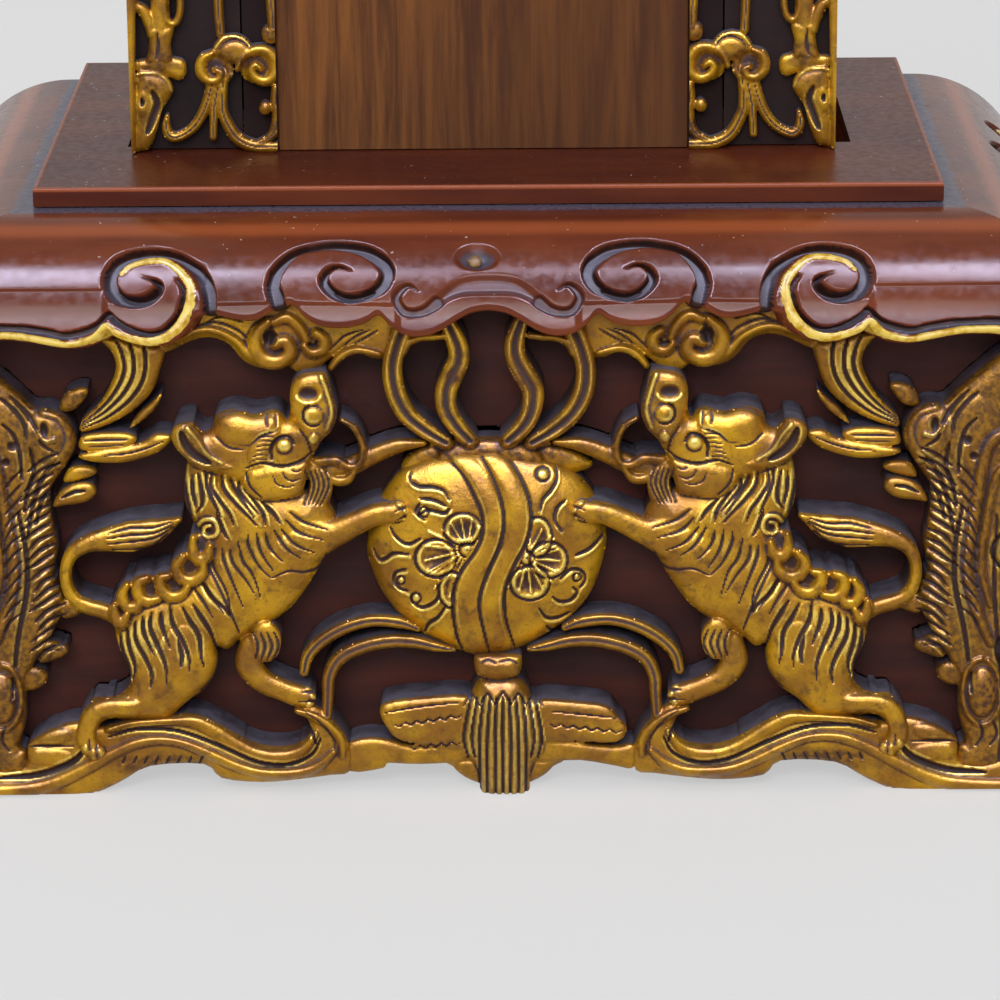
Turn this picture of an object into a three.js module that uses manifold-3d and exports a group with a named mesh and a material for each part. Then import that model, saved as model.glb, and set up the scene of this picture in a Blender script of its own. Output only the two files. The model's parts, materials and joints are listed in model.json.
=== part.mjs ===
import * as THREE from "three";
import { mergeVertices } from "three/addons/utils/BufferGeometryUtils.js";
import Module from "manifold-3d";

// An ancestral tablet: a gilt and lacquered wooden base, a tablet whose foot stands loose in a
// mortise of the base, and a face panel that slides up in the tablet.
// Millimetres, +Z up. The front faces -Y, and the origin is the middle of the footprint.

const wasm = await Module();
wasm.setup();

// General fits
const seatGap = 0.3;
const overrun = 1;
const weldDistance = 0.0001;

// Tier plate on top of the base
const tierWidth = 200;
const tierBackLedge = 44;
const tierThickness = 4.5;
const tierTop = 133;

// Cushion moulding round the front and the sides of the base
const mouldingFlat = 4;
const mouldingRadius = 28;
const mouldingDegrees = 78;
const mouldingSteps = 9;
const backMargin = 1;
const topBoardThickness = 14;
const lipThickness = 7;

// Mortise, seen loose at both ends of the tablet's foot
const mortiseInset = 38.4;
const mortiseSidePlay = 5.5;
const mortiseDepthPlay = 1.3;

// Boards below the top board
const groundReach = 14;
const groundThickness = 6;
const groundFootHeight = 7;
const carvingReach = 29.4;
const backBoardThickness = 8;
const postWidth = 12;

// Battens that deepen the mortise
const cheekWidth = 12;
const tenonDepth = 32;
const tenonRestThickness = 10;

// Nail in the front moulding
const nailRadius = 1.2;
const nailHeadRadius = 1.7;
const nailHeadThickness = 0.9;
const nailLength = 10;
const nailDegrees = 36;
const nailSide = -2.2;
const roundSides = 16;

// Case of the tablet
const caseWidth = 159;
const caseDepth = 44.3;
const caseHeight = 300;
const caseShift = -1.25;
const caseClearance = 0.5;
const stileWidth = 20;
const stileHeadHeight = 36;
const caseBackThickness = 10;
const sillHeight = 8;
const headRailHeight = 16;

// Face panel and the grooves that it slides in
const panelSetback = 3.1;
const panelTongueThickness = 3.1;
const panelTongueWidth = 8;
const panelRunClearance = 0.4;
const panelTopLap = 9;

// Gilt openwork strips
const stripWidth = 33;
const stripThickness = 4.7;
const stripBeadWidth = 1.6;
const stripMotifs = 4;

// Inner tablet
const innerSideRoom = 5;
const innerShoulder = 6;
const innerThickness = 14;
const innerHeight = 236;
const innerFootHeight = 16;

// Crest
const crestWidth = 178;
const crestHeight = 78;
const crestThickness = 10;
const crestReliefHeight = 4;
const crestPegRadius = 2.5;
const crestPegLength = 16;
const crestPegHeight = 22;
const crestPegInset = 10;
const crestPegSink = 4;

// Relief levels of the carvings, back from the highest ones
const middleStep = 2.5;
const bandStep = 4;
const hiddenRailDepth = 14;
const scallopDrop = 7.2;

// What the photographed pixels measure on the carved front
const archHeight = 113.6;
const halfViewAtArch = 107.3;
const halfViewAtFoot = 112.9;

// Heights and places that follow from the sizes above
const mortiseWidth = caseWidth + mortiseSidePlay;
const mortiseDepth = caseDepth + mortiseDepthPlay;
const tierDepth = mortiseInset + mortiseDepth + tierBackLedge;
const lipAngle = THREE.MathUtils.degToRad(mouldingDegrees);
const overhang = mouldingFlat + mouldingRadius * Math.sin(lipAngle);
const lipDrop = mouldingRadius * (1 - Math.cos(lipAngle));
const baseDepth = overhang + tierDepth + backMargin;
const tierFront = overhang - baseDepth / 2;
const tierBack = tierFront + tierDepth;
const baseBack = baseDepth / 2;
const shoulderTop = tierTop - tierThickness;
const lipFoot = shoulderTop - lipDrop;
const boardUnderside = shoulderTop - topBoardThickness;
const boardsTop = boardUnderside - seatGap;
const lipInner = overhang - lipThickness;
const lowReliefReach = lipInner - seatGap;
const carvingBackReach = groundReach + seatGap;
const highReach = carvingReach;
const middleReach = carvingReach - middleStep;
const bandReach = carvingReach - bandStep;

const mortiseFront = tierFront + mortiseInset;
const mortiseBack = mortiseFront + mortiseDepth;
const innerHalfWidth = tierWidth / 2 + groundReach - groundThickness - seatGap;
const innerFront = tierFront - groundReach + groundThickness + seatGap;
const innerBack = baseBack - backBoardThickness - seatGap;
const tenonRestTop = tierTop - tenonDepth - seatGap;

// Depths in the tablet, from the front of its case
const tongueBack = -panelRunClearance;
const tongueFront = tongueBack - panelTongueThickness;
const stripBack = tongueFront - panelRunClearance;
const stripFront = stripBack - stripThickness;
const panelFront = stripFront + panelSetback;
const panelHalfWidth = caseWidth / 2 - stripWidth - panelRunClearance;
const tongueHalfWidth = panelHalfWidth + panelTongueWidth;
const panelHeight = caseHeight - seatGap;
const crestFoot = caseHeight - panelTopLap;
const stileTop = caseHeight + stileHeadHeight;
const caseInnerHalf = caseWidth / 2 - stileWidth - seatGap;
const innerFootWidth = 2 * (caseInnerHalf - innerSideRoom);
const innerWidth = innerFootWidth - 2 * innerShoulder;

// Materials, with the colours of the old wood, lacquer and gilding
const lacquer = new THREE.MeshStandardMaterial({ color: 0x5a2014, roughness: 0.35, metalness: 0 });
const groundLacquer = new THREE.MeshStandardMaterial({ color: 0x3c130d, roughness: 0.5, metalness: 0 });
const gilding = new THREE.MeshStandardMaterial({ color: 0xa8762a, roughness: 0.45, metalness: 0.6 });
const faceWood = new THREE.MeshStandardMaterial({ color: 0x7a5327, roughness: 0.5, metalness: 0 });
const plainWood = new THREE.MeshStandardMaterial({ color: 0x6b4526, roughness: 0.8, metalness: 0 });
const nailBrass = new THREE.MeshStandardMaterial({ color: 0xb08a3c, roughness: 0.4, metalness: 0.8 });

// Booleans
function toSolid(geometry) {
  const bare = geometry.index ? geometry.toNonIndexed() : geometry.clone();
  for (const name of Object.keys(bare.attributes)) {
    if (name !== "position") bare.deleteAttribute(name);
  }
  const merged = mergeVertices(bare, weldDistance);
  return new wasm.Manifold(
    new wasm.Mesh({
      numProp: 3,
      vertProperties: merged.attributes.position.array,
      triVerts: new Uint32Array(merged.index.array),
    }),
  );
}

function toGeometry(solid) {
  const mesh = solid.getMesh();
  const geometry = new THREE.BufferGeometry();
  geometry.setAttribute("position", new THREE.BufferAttribute(mesh.vertProperties, 3));
  geometry.setIndex(new THREE.BufferAttribute(mesh.triVerts, 1));
  return geometry;
}

function join(geometries) {
  return toGeometry(geometries.map(toSolid).reduce((whole, piece) => whole.add(piece)));
}

function cut(geometry, cutters) {
  const start = toSolid(geometry);
  return toGeometry(cutters.map(toSolid).reduce((whole, piece) => whole.subtract(piece), start));
}

// A box between two corners
function block(low, high) {
  const geometry = new THREE.BoxGeometry(high[0] - low[0], high[1] - low[1], high[2] - low[2]);
  return geometry.translate((low[0] + high[0]) / 2, (low[1] + high[1]) / 2, (low[2] + high[2]) / 2);
}

// A closed skin over rings that each hold the same number of points
function loft(rings) {
  const count = rings[0].length;
  const positions = rings.flat(2);
  const faces = [];
  for (let ring = 0; ring + 1 < rings.length; ring += 1) {
    for (let i = 0; i < count; i += 1) {
      const a = ring * count + i;
      const b = ring * count + ((i + 1) % count);
      faces.push(a, b, b + count, a, b + count, a + count);
    }
  }
  const last = (rings.length - 1) * count;
  for (let i = 1; i + 1 < count; i += 1) {
    faces.push(0, i + 1, i);
    faces.push(last, last + i, last + i + 1);
  }
  const geometry = new THREE.BufferGeometry();
  geometry.setAttribute("position", new THREE.Float32BufferAttribute(positions, 3));
  geometry.setIndex(faces);
  return geometry;
}

// A plate cut to an outline in the upright plane, between two depths that grow towards the front
function uprightPlate(points, backReach, frontReach) {
  const shape = new THREE.Shape(points);
  const geometry = new THREE.ExtrudeGeometry(shape, { depth: frontReach - backReach, bevelEnabled: false });
  geometry.rotateX(Math.PI / 2);
  return geometry.translate(0, -backReach, 0);
}

// A carved band along a smooth curve, with its own width at each point
function band(points, halfWidths, backReach, frontReach, steps = 8) {
  const curve = new THREE.SplineCurve(points);
  const rings = [];
  for (let i = 0; i <= steps; i += 1) {
    const t = i / steps;
    const place = curve.getPoint(t);
    const along = curve.getTangent(t);
    const spot = t * (halfWidths.length - 1);
    const before = Math.min(Math.floor(spot), halfWidths.length - 2);
    const half = THREE.MathUtils.lerp(halfWidths[before], halfWidths[before + 1], spot - before);
    const side = new THREE.Vector2(-along.y, along.x).multiplyScalar(half);
    rings.push([
      [place.x + side.x, -backReach, place.y + side.y],
      [place.x + side.x, -frontReach, place.y + side.y],
      [place.x - side.x, -frontReach, place.y - side.y],
      [place.x - side.x, -backReach, place.y - side.y],
    ]);
  }
  return loft(rings);
}

// A smooth closed outline through the given points
function smoothOutline(points, steps) {
  const curve = new THREE.CatmullRomCurve3(
    points.map((p) => new THREE.Vector3(p.x, p.y, 0)),
    true,
  );
  return curve
    .getPoints(steps)
    .slice(0, steps)
    .map((p) => new THREE.Vector2(p.x, p.y));
}

// Round pieces
function rod(radius, length) {
  return new THREE.CylinderGeometry(radius, radius, length, roundSides).rotateX(Math.PI / 2);
}

// A wedge that mitres the end of a wall, where the wall's length grows with its reach
function mitreWedge(halfLength, side, low, high) {
  const inner = carvingBackReach - overrun;
  const outer = carvingReach + overrun;
  const far = halfLength + outer * 2;
  const corners = [
    [halfLength + inner - seatGap, inner],
    [halfLength + outer - seatGap, outer],
    [far, outer],
    [far, inner],
  ].map(([along, reach]) => [side * along, -reach]);
  if (side < 0) corners.reverse();
  return loft([low, high].map((height) => corners.map(([x, y]) => [x, y, height])));
}

// The photograph's frame: one pixel as a share of it, and the shares where the carved front has
// its middle, the top of the lip's arch and its foot, half the picture's width, and its small tilt
const pixelShare = 0.001;
const photoShares = { centre: 0.488, arch: 0.307, foot: 0.798, half: 0.5, tilt: 0.0088 };

// A place on the left half of the carved front, from its pixel in the photograph
function fromPhoto([px, py]) {
  const across = px * pixelShare - photoShares.centre;
  const level = py * pixelShare + across * photoShares.tilt;
  const down = (level - photoShares.arch) / (photoShares.foot - photoShares.arch);
  const halfView = THREE.MathUtils.lerp(halfViewAtArch, halfViewAtFoot, down);
  return new THREE.Vector2((across / photoShares.half) * halfView, (1 - down) * archHeight);
}

function mirrored(point) {
  return new THREE.Vector2(-point.x, point.y);
}

function pxToSize(px) {
  return ((px * pixelShare) / (photoShares.foot - photoShares.arch)) * archHeight;
}

// Lower edge of the front lip, from beyond the left edge of the picture to the middle
const lipEdgePx = [
  [-101, 324], [-60, 332], [-30, 322], [0, 325], [33, 323], [60, 330], [89, 322], [108, 313],
  [123, 331], [152, 340], [180, 327], [200, 314], [240, 318], [290, 328], [333, 326], [360, 319],
  [376, 313], [395, 326], [419, 335], [450, 323], [488, 307],
];

// Lower edge of a side lip, as shares of its length and of the drop of the scallops
const sideEdgeShares = [
  [0, 0.3], [0.06, 0.6], [0.11, 0.2], [0.16, 0.9], [0.24, 0.9], [0.29, 0.3], [0.38, 0.55],
  [0.44, 0.3], [0.5, 0], [0.56, 0.3], [0.62, 0.55], [0.71, 0.3], [0.76, 0.9], [0.84, 0.9],
  [0.89, 0.2], [0.94, 0.6], [1, 0.3],
];

// Everything under the scalloped edge of a lip, to be cut away
function underLip(edge, reachLow) {
  const left = edge[0].x - overrun;
  const right = edge[edge.length - 1].x + overrun;
  const floor = lipFoot - overrun;
  const outline = [
    new THREE.Vector2(left, floor),
    new THREE.Vector2(right, floor),
    new THREE.Vector2(right, edge[edge.length - 1].y),
    ...[...edge].reverse(),
    new THREE.Vector2(left, edge[0].y),
  ];
  return uprightPlate(outline, reachLow, overhang + overrun);
}

// Moulded top board

// One level of the moulding: how far it stands out, and its height
function mouldingRing(reach, height) {
  const half = tierWidth / 2 + reach;
  return [
    [-half, tierFront - reach, height],
    [half, tierFront - reach, height],
    [half, baseBack, height],
    [-half, baseBack, height],
  ];
}

function mouldingPoint(angle) {
  return {
    reach: mouldingFlat + mouldingRadius * Math.sin(angle),
    height: shoulderTop - mouldingRadius * (1 - Math.cos(angle)),
  };
}

function turnedToRight(geometry) {
  return geometry.rotateZ(Math.PI / 2).translate(tierWidth / 2, (tierFront + tierBack) / 2, 0);
}

function turnedToLeft(geometry) {
  return geometry.rotateZ(-Math.PI / 2).translate(-tierWidth / 2, (tierFront + tierBack) / 2, 0);
}

const nailAngle = THREE.MathUtils.degToRad(nailDegrees);

function alongNail(geometry, out) {
  const seat = mouldingPoint(nailAngle);
  geometry.rotateX(nailAngle);
  return geometry.translate(
    nailSide,
    tierFront - seat.reach - Math.sin(nailAngle) * out,
    seat.height + Math.cos(nailAngle) * out,
  );
}

function topBoard() {
  const rings = [];
  for (let i = mouldingSteps; i >= 0; i -= 1) {
    const level = mouldingPoint((lipAngle * i) / mouldingSteps);
    rings.push(mouldingRing(level.reach, level.height));
  }
  const inner = tierWidth / 2 + lipInner;
  const hollow = block(
    [-inner, tierFront - lipInner, lipFoot - overrun],
    [inner, baseBack + overrun, boardUnderside],
  );
  const mortise = block(
    [-mortiseWidth / 2, mortiseFront, boardUnderside - overrun],
    [mortiseWidth / 2, mortiseBack, shoulderTop + overrun],
  );
  const leftEdge = lipEdgePx.map(fromPhoto);
  const frontEdge = [...leftEdge, ...leftEdge.slice(0, -1).reverse().map(mirrored)];
  const sideStart = -tierDepth / 2 - overhang;
  const archTop = leftEdge[leftEdge.length - 1].y;
  const sideEdge = sideEdgeShares.map(
    ([along, drop]) => new THREE.Vector2(sideStart + along * baseDepth, archTop - drop * scallopDrop),
  );
  const otherSideEdge = [...sideEdge].reverse().map(mirrored);
  const shaft = alongNail(rod(nailRadius + seatGap, nailLength * 2), 0);
  return cut(loft(rings), [
    hollow,
    mortise,
    underLip(frontEdge, lipInner - overrun).translate(0, tierFront, 0),
    turnedToRight(underLip(sideEdge, lipInner - overrun)),
    turnedToLeft(underLip(otherSideEdge, lipInner - overrun)),
    shaft,
  ]);
}

// Front carving, as bands and solid forms on the left half that are repeated on the right

// Carved bands: points in the photograph, half widths in its pixels, and how far they stand out
const pairedBands = [
  {
    name: "outer ribbon",
    px: [[393, 318], [386, 345], [384, 375], [396, 410], [420, 432], [445, 450]],
    half: [11, 11, 12, 12, 10],
    front: middleReach,
  },
  {
    name: "inner ribbon",
    px: [[448, 322], [462, 350], [452, 378], [448, 400], [458, 425], [474, 448]],
    half: [8, 10, 11, 11, 9],
    front: middleReach,
  },
  {
    name: "upper band",
    px: [
      [-80, 352], [-20, 345], [40, 350], [110, 352], [165, 340], [215, 330], [262, 345], [300, 335],
      [345, 342], [390, 330],
    ],
    half: [12, 9, 8, 12, 10, 12, 16, 14, 12, 10],
    front: bandReach,
    steps: 16,
  },
  {
    name: "plume",
    px: [[138, 350], [134, 380], [118, 410], [92, 430], [60, 440]],
    half: [24, 16, 12, 9],
    front: bandReach,
  },
  {
    name: "upper leaf",
    px: [[170, 438], [135, 446], [100, 446], [60, 440]],
    half: [5, 9, 9, 10],
    front: bandReach,
  },
  {
    name: "lower leaf",
    px: [[158, 455], [120, 462], [90, 466], [58, 462]],
    half: [4, 8, 8, 9],
    front: bandReach,
  },
  {
    name: "tail",
    px: [[118, 612], [85, 606], [64, 588], [64, 562], [90, 545], [130, 537], [176, 520]],
    half: [11, 9, 8, 10, 11, 12, 3],
    front: middleReach,
    steps: 12,
  },
  {
    name: "near foreleg",
    px: [[318, 545], [345, 534], [372, 522], [405, 512]],
    half: [18, 15, 11, 11],
    front: highReach,
  },
  {
    name: "far foreleg",
    px: [[325, 492], [352, 472], [378, 456], [402, 447]],
    half: [12, 10, 9, 8],
    front: bandReach,
  },
  {
    name: "hind leg",
    px: [[150, 690], [116, 700], [94, 708], [84, 728], [92, 752]],
    half: [22, 15, 11, 11, 10],
    front: highReach,
  },
  {
    name: "far hind leg",
    px: [[236, 640], [250, 662], [275, 684], [312, 700]],
    half: [16, 13, 11, 9],
    front: middleReach,
  },
  {
    name: "scroll over the floor",
    px: [
      [-80, 775], [-20, 790], [40, 782], [90, 772], [130, 758], [175, 745], [225, 752], [270, 768],
      [312, 758], [330, 728], [328, 690], [345, 655], [385, 640], [440, 642],
    ],
    half: [22, 12, 14, 14, 12, 16, 14, 13, 16, 14, 11, 10, 10, 8],
    front: bandReach,
    steps: 22,
  },
  {
    name: "scroll under the feet",
    px: [
      [20, 762], [65, 742], [115, 728], [170, 722], [215, 733], [262, 750], [300, 746], [318, 722],
      [308, 690],
    ],
    half: [12, 11, 9, 8, 9, 10, 11, 9, 6],
    front: bandReach,
    steps: 18,
  },
  {
    name: "inner arc",
    px: [[345, 742], [352, 700], [372, 668], [410, 650], [450, 650]],
    half: [9, 8, 8, 7, 6],
    front: bandReach,
  },
  {
    name: "tassel bar",
    px: [[385, 718], [420, 718], [470, 722]],
    half: [17, 16, 16],
    front: bandReach,
  },
  {
    name: "foot scroll",
    px: [[330, 765], [380, 764], [440, 770], [488, 772]],
    half: [10, 12, 14, 14],
    front: bandReach,
  },
  {
    name: "corner band",
    px: [[-40, 350], [-8, 420], [2, 500], [10, 570], [0, 640], [8, 710], [0, 760]],
    half: [22, 18, 16, 14, 18, 24, 20],
    front: middleReach,
    steps: 16,
  },
];

// Solid forms: outlines in the photograph
const pairedForms = [
  {
    name: "lion trunk",
    px: [
      [188, 458], [184, 490], [192, 520], [206, 536], [194, 560], [160, 588], [122, 604], [112, 622],
      [120, 655], [136, 690], [152, 714], [172, 722], [200, 700], [222, 664], [258, 630], [312, 584],
      [332, 552], [330, 515], [316, 488], [270, 486], [228, 474],
    ],
    front: highReach,
  },
  {
    name: "lion head",
    px: [
      [174, 430], [192, 420], [217, 411], [246, 408], [274, 414], [290, 390], [312, 374], [329, 382],
      [336, 412], [330, 432], [352, 448], [350, 472], [322, 482], [300, 494], [264, 500], [226, 484],
      [194, 466],
    ],
    front: highReach,
  },
  {
    name: "corner foliage",
    px: [
      [-90, 345], [-30, 352], [10, 376], [45, 408], [74, 418], [76, 446], [62, 480], [42, 515],
      [44, 560], [62, 588], [50, 640], [34, 690], [28, 750], [20, 792], [-90, 792],
    ],
    front: bandReach,
  },
];

const ballCentrePx = [488, 555];
const ballHalfSizesPx = [119, 101];
const tasselProfilePx = [
  [488, 655], [508, 658], [512, 675], [504, 682], [522, 690], [528, 715], [532, 753], [524, 780], [514, 798],
  [488, 798],
];
const formSteps = 32;
const ballRings = 10;
const ballSides = 20;
const tasselSides = 14;

function ball() {
  const centre = fromPhoto(ballCentrePx);
  const [halfWidth, halfHeight] = ballHalfSizesPx.map(pxToSize);
  const geometry = new THREE.SphereGeometry(1, ballSides, ballRings);
  geometry.scale(halfWidth, carvingReach - carvingBackReach, halfHeight);
  return geometry.translate(0, -carvingBackReach, centre.y);
}

function tassel() {
  const profile = tasselProfilePx.map(fromPhoto);
  const geometry = new THREE.LatheGeometry(profile.reverse(), tasselSides);
  const widest = Math.max(...profile.map((point) => point.x));
  geometry.rotateX(Math.PI / 2).scale(1, (highReach - carvingBackReach) / widest, 1);
  return geometry.translate(0, -carvingBackReach, 0);
}

function bandPair({ px, half, front, steps }) {
  const points = px.map(fromPhoto);
  const widths = half.map(pxToSize);
  const left = band(points, widths, carvingBackReach, front, steps);
  const turned = points.map(mirrored).reverse();
  const right = band(turned, [...widths].reverse(), carvingBackReach, front, steps);
  return [left, right];
}

function formPair({ px, front }) {
  const outline = smoothOutline(px.map(fromPhoto), formSteps);
  return [
    uprightPlate(outline, carvingBackReach, front),
    uprightPlate(outline.map(mirrored).reverse(), carvingBackReach, front),
  ];
}

// The hidden rail behind the lip that the carving hangs from
function hiddenRail(left, right, depth) {
  return block([left, -lowReliefReach, boardsTop - depth], [right, -carvingBackReach, boardsTop]);
}

// What stays clear of a carving: the room behind it, the lip above it, the floor, and the mitres
function carvingRoom(left, right, mitres) {
  const far = carvingReach + overrun;
  return [
    block([left - far, -carvingBackReach, -far], [right + far, far, tierTop]),
    block([left - far, -far, lipFoot - seatGap], [right + far, -lowReliefReach, tierTop]),
    block([left - far, -lowReliefReach - overrun, boardsTop], [right + far, 0, tierTop]),
    block([left - far, -far, -far], [right + far, 0, 0]),
    ...mitres,
  ];
}

function frontCarving() {
  const half = tierWidth / 2;
  const solids = [
    hiddenRail(-half - carvingReach, half + carvingReach, hiddenRailDepth),
    ball(),
    tassel(),
    ...pairedBands.flatMap(bandPair),
    ...pairedForms.flatMap(formPair),
  ];
  const mitres = [-1, 1].map((side) => mitreWedge(half, side, -overrun, tierTop));
  return cut(join(solids), carvingRoom(-half, half, mitres));
}

// Side carvings: a cloud band, a scroll band and a rosette between two scrolls

// Bands as shares of the side's length and of the height under the lip
const sideBands = [
  {
    shares: [[0.02, 0.9], [0.16, 0.84], [0.3, 0.9], [0.5, 0.86], [0.7, 0.9], [0.84, 0.84], [0.98, 0.9]],
    half: [0.05, 0.04, 0.05, 0.04, 0.05, 0.04, 0.05],
    steps: 18,
  },
  {
    shares: [
      [0.02, 0.07], [0.16, 0.05], [0.3, 0.14], [0.42, 0.17], [0.5, 0.07], [0.58, 0.17], [0.7, 0.14],
      [0.84, 0.05], [0.98, 0.07],
    ],
    half: [0.06, 0.05, 0.04, 0.05, 0.07, 0.05, 0.04, 0.05, 0.06],
    steps: 24,
  },
  { shares: [[0.5, 0.12], [0.5, 0.5], [0.5, 0.86]], half: [0.03, 0.05, 0.03], steps: 4 },
];
const sidePairedBands = [
  {
    shares: [
      [0.1, 0.06], [0.16, 0.3], [0.1, 0.56], [0.18, 0.76], [0.28, 0.74], [0.31, 0.6], [0.25, 0.52],
    ],
    half: [0.04, 0.05, 0.05, 0.05, 0.05, 0.04, 0.03],
    steps: 18,
  },
  {
    shares: [[0.14, 0.3], [0.24, 0.26], [0.32, 0.36], [0.42, 0.42]],
    half: [0.05, 0.045, 0.035, 0.03],
    steps: 8,
  },
  { shares: [[0.05, 0.05], [0.04, 0.5], [0.05, 0.9]], half: [0.1, 0.05, 0.08], steps: 6 },
];
const rosetteShare = 0.13;
const rosetteHeightShare = 0.5;
const rosetteSides = 24;

function sideCarving(side) {
  const front = -tierDepth / 2 - carvingReach;
  const back = tierDepth / 2 + backMargin;
  const length = back - front;
  const height = lipFoot;
  const place = (turn) => ([along, up]) =>
    new THREE.Vector2(side * THREE.MathUtils.lerp(front, back, turn ? 1 - along : along), up * height);
  const ends = [side * front, side * back];
  const solids = [hiddenRail(Math.min(...ends), Math.max(...ends), hiddenRailDepth)];
  const addBand = (shares, half, steps, turn) => {
    const points = shares.map(place(turn));
    const widths = half.map((share) => share * height);
    if (points[0].x > points[points.length - 1].x) {
      points.reverse();
      widths.reverse();
    }
    solids.push(band(points, widths, carvingBackReach, bandReach, steps));
  };
  sideBands.forEach(({ shares, half, steps }) => addBand(shares, half, steps, false));
  for (const turn of [false, true]) {
    sidePairedBands.forEach(({ shares, half, steps }) => addBand(shares, half, steps, turn));
  }
  const rosette = new THREE.SphereGeometry(1, rosetteSides, ballRings);
  const radius = rosetteShare * length;
  rosette.scale(radius, carvingReach - carvingBackReach, radius);
  const middle = place(false)([rosetteHeightShare, rosetteHeightShare]);
  solids.push(rosette.translate(middle.x, -carvingBackReach, middle.y));
  const wedge = mitreWedge(tierDepth / 2, -side, -overrun, tierTop);
  const backEnd = side * back;
  const beyond = block(
    [Math.min(backEnd, backEnd + side * length), -length, -length],
    [Math.max(backEnd, backEnd + side * length), length, tierTop + length],
  );
  const reach = length;
  return cut(join(solids), carvingRoom(-reach, reach, [wedge, beyond]));
}

// Openwork strips of the tablet

// Bands as shares of the strip's width, from its outer edge, and of one motif's height
const stripBands = [
  {
    shares: [[0.62, 0.34], [0.6, 0.2], [0.66, 0.1], [0.8, 0.05], [0.97, 0.03]],
    half: [0.06, 0.05, 0.05, 0.045, 0.04],
    steps: 5,
  },
  {
    shares: [[0.56, 0.34], [0.55, 0.2], [0.46, 0.11], [0.34, 0.075], [0.27, 0.12]],
    half: [0.05, 0.045, 0.045, 0.04, 0.03],
    steps: 5,
  },
  { shares: [[0.59, 0.34], [0.57, 0.2], [0.55, 0.08]], half: [0.04, 0.035, 0.03], steps: 1 },
  {
    shares: [[0.93, 0.02], [0.95, 0.12], [0.92, 0.2], [0.95, 0.28], [0.88, 0.36]],
    half: [0.05, 0.05, 0.04, 0.05, 0.06],
    steps: 4,
  },
  {
    shares: [[0.68, 0.44], [0.58, 0.4], [0.5, 0.34], [0.56, 0.28], [0.66, 0.31]],
    half: [0.09, 0.08, 0.07, 0.06, 0.05],
    steps: 5,
  },
  {
    shares: [[0.68, 0.44], [0.8, 0.42], [0.88, 0.36], [0.84, 0.29], [0.76, 0.31]],
    half: [0.09, 0.08, 0.07, 0.06, 0.05],
    steps: 5,
  },
  {
    shares: [[0.54, 0.38], [0.64, 0.46], [0.76, 0.45], [0.84, 0.38]],
    half: [0.05, 0.08, 0.08, 0.05],
    steps: 4,
  },
  {
    shares: [[0.66, 0.48], [0.58, 0.6], [0.62, 0.74], [0.5, 0.88], [0.57, 1.1]],
    half: [0.05, 0.04, 0.05, 0.05, 0.04],
    steps: 5,
  },
  {
    shares: [[0.9, 0.34], [0.93, 0.5], [0.94, 0.7], [0.92, 0.86], [0.94, 1.04]],
    half: [0.05, 0.04, 0.05, 0.06, 0.05],
    steps: 4,
  },
  {
    shares: [[0.02, 0.02], [0.12, 0.1], [0.16, 0.2], [0.04, 0.29]],
    half: [0.05, 0.1, 0.1, 0.07],
    steps: 4,
  },
  {
    shares: [[0.02, 0.34], [0.2, 0.4], [0.18, 0.56], [0.24, 0.7], [0.06, 0.86], [0.02, 0.98]],
    half: [0.06, 0.09, 0.08, 0.08, 0.07, 0.05],
    steps: 6,
  },
  { shares: [[0.18, 0.7], [0.34, 0.8], [0.56, 0.84]], half: [0.05, 0.04, 0.04], steps: 2 },
];

function piercedStrip(side) {
  const motifHeight = crestFoot / stripMotifs;
  const outer = (side * caseWidth) / 2;
  const beadEdge = outer - side * stripBeadWidth;
  const solids = [
    block(
      [Math.min(outer, beadEdge), stripFront, seatGap],
      [Math.max(outer, beadEdge), stripBack, crestFoot - seatGap],
    ),
  ];
  for (let motif = 0; motif < stripMotifs; motif += 1) {
    for (const { shares, half, steps } of stripBands) {
      const points = shares.map(
        ([across, up]) => new THREE.Vector2(outer - side * across * stripWidth, (motif + up) * motifHeight),
      );
      const widths = half.map((share) => share * stripWidth);
      solids.push(band(points, widths, -stripBack, -stripFront, steps));
    }
  }
  const far = caseWidth;
  const top = caseHeight + far;
  const innerEnds = [outer - side * stripWidth, outer - side * (stripWidth + far)];
  const outerEnds = [outer, outer + side * far];
  return cut(join(solids), [
    block([-far, -far, -far], [far, far, seatGap]),
    block([-far, -far, crestFoot - seatGap], [far, far, top]),
    block([Math.min(...innerEnds), -far, -far], [Math.max(...innerEnds), far, top]),
    block([Math.min(...outerEnds), -far, -far], [Math.max(...outerEnds), far, top]),
  ]);
}

// Crest: a cloud-shaped headboard, as shares of half its width and of its height
const crestOutlineShares = [
  [0, 1], [0.14, 0.985], [0.28, 0.93], [0.4, 0.82], [0.46, 0.74], [0.56, 0.8], [0.68, 0.79], [0.78, 0.7],
  [0.8, 0.58], [0.76, 0.5], [0.86, 0.52], [0.97, 0.44], [1, 0.3], [0.95, 0.16], [0.86, 0.08], [0.84, 0],
];

function crestOutline() {
  const right = crestOutlineShares.map(
    ([across, up]) => new THREE.Vector2((across * crestWidth) / 2, up * crestHeight),
  );
  return [...right, ...right.slice(1).reverse().map(mirrored)].reverse();
}

function pegHole(side, length, radius) {
  const peg = new THREE.CylinderGeometry(radius, radius, length, roundSides);
  return peg.translate(side * (caseWidth / 2 - crestPegInset), 0, crestPegHeight);
}

function crestBoard() {
  const channelHalf = panelHalfWidth + panelRunClearance;
  const channel = block(
    [-channelHalf, panelFront - panelRunClearance, -overrun],
    [channelHalf, stripBack + overrun, crestHeight + overrun],
  );
  const board = uprightPlate(crestOutline(), -stripBack, crestThickness - stripBack);
  const holes = [-1, 1].map((side) =>
    pegHole(side, crestPegSink * 2, crestPegRadius + seatGap).translate(0, stripBack, 0),
  );
  return cut(board, [channel, ...holes]);
}

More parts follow.
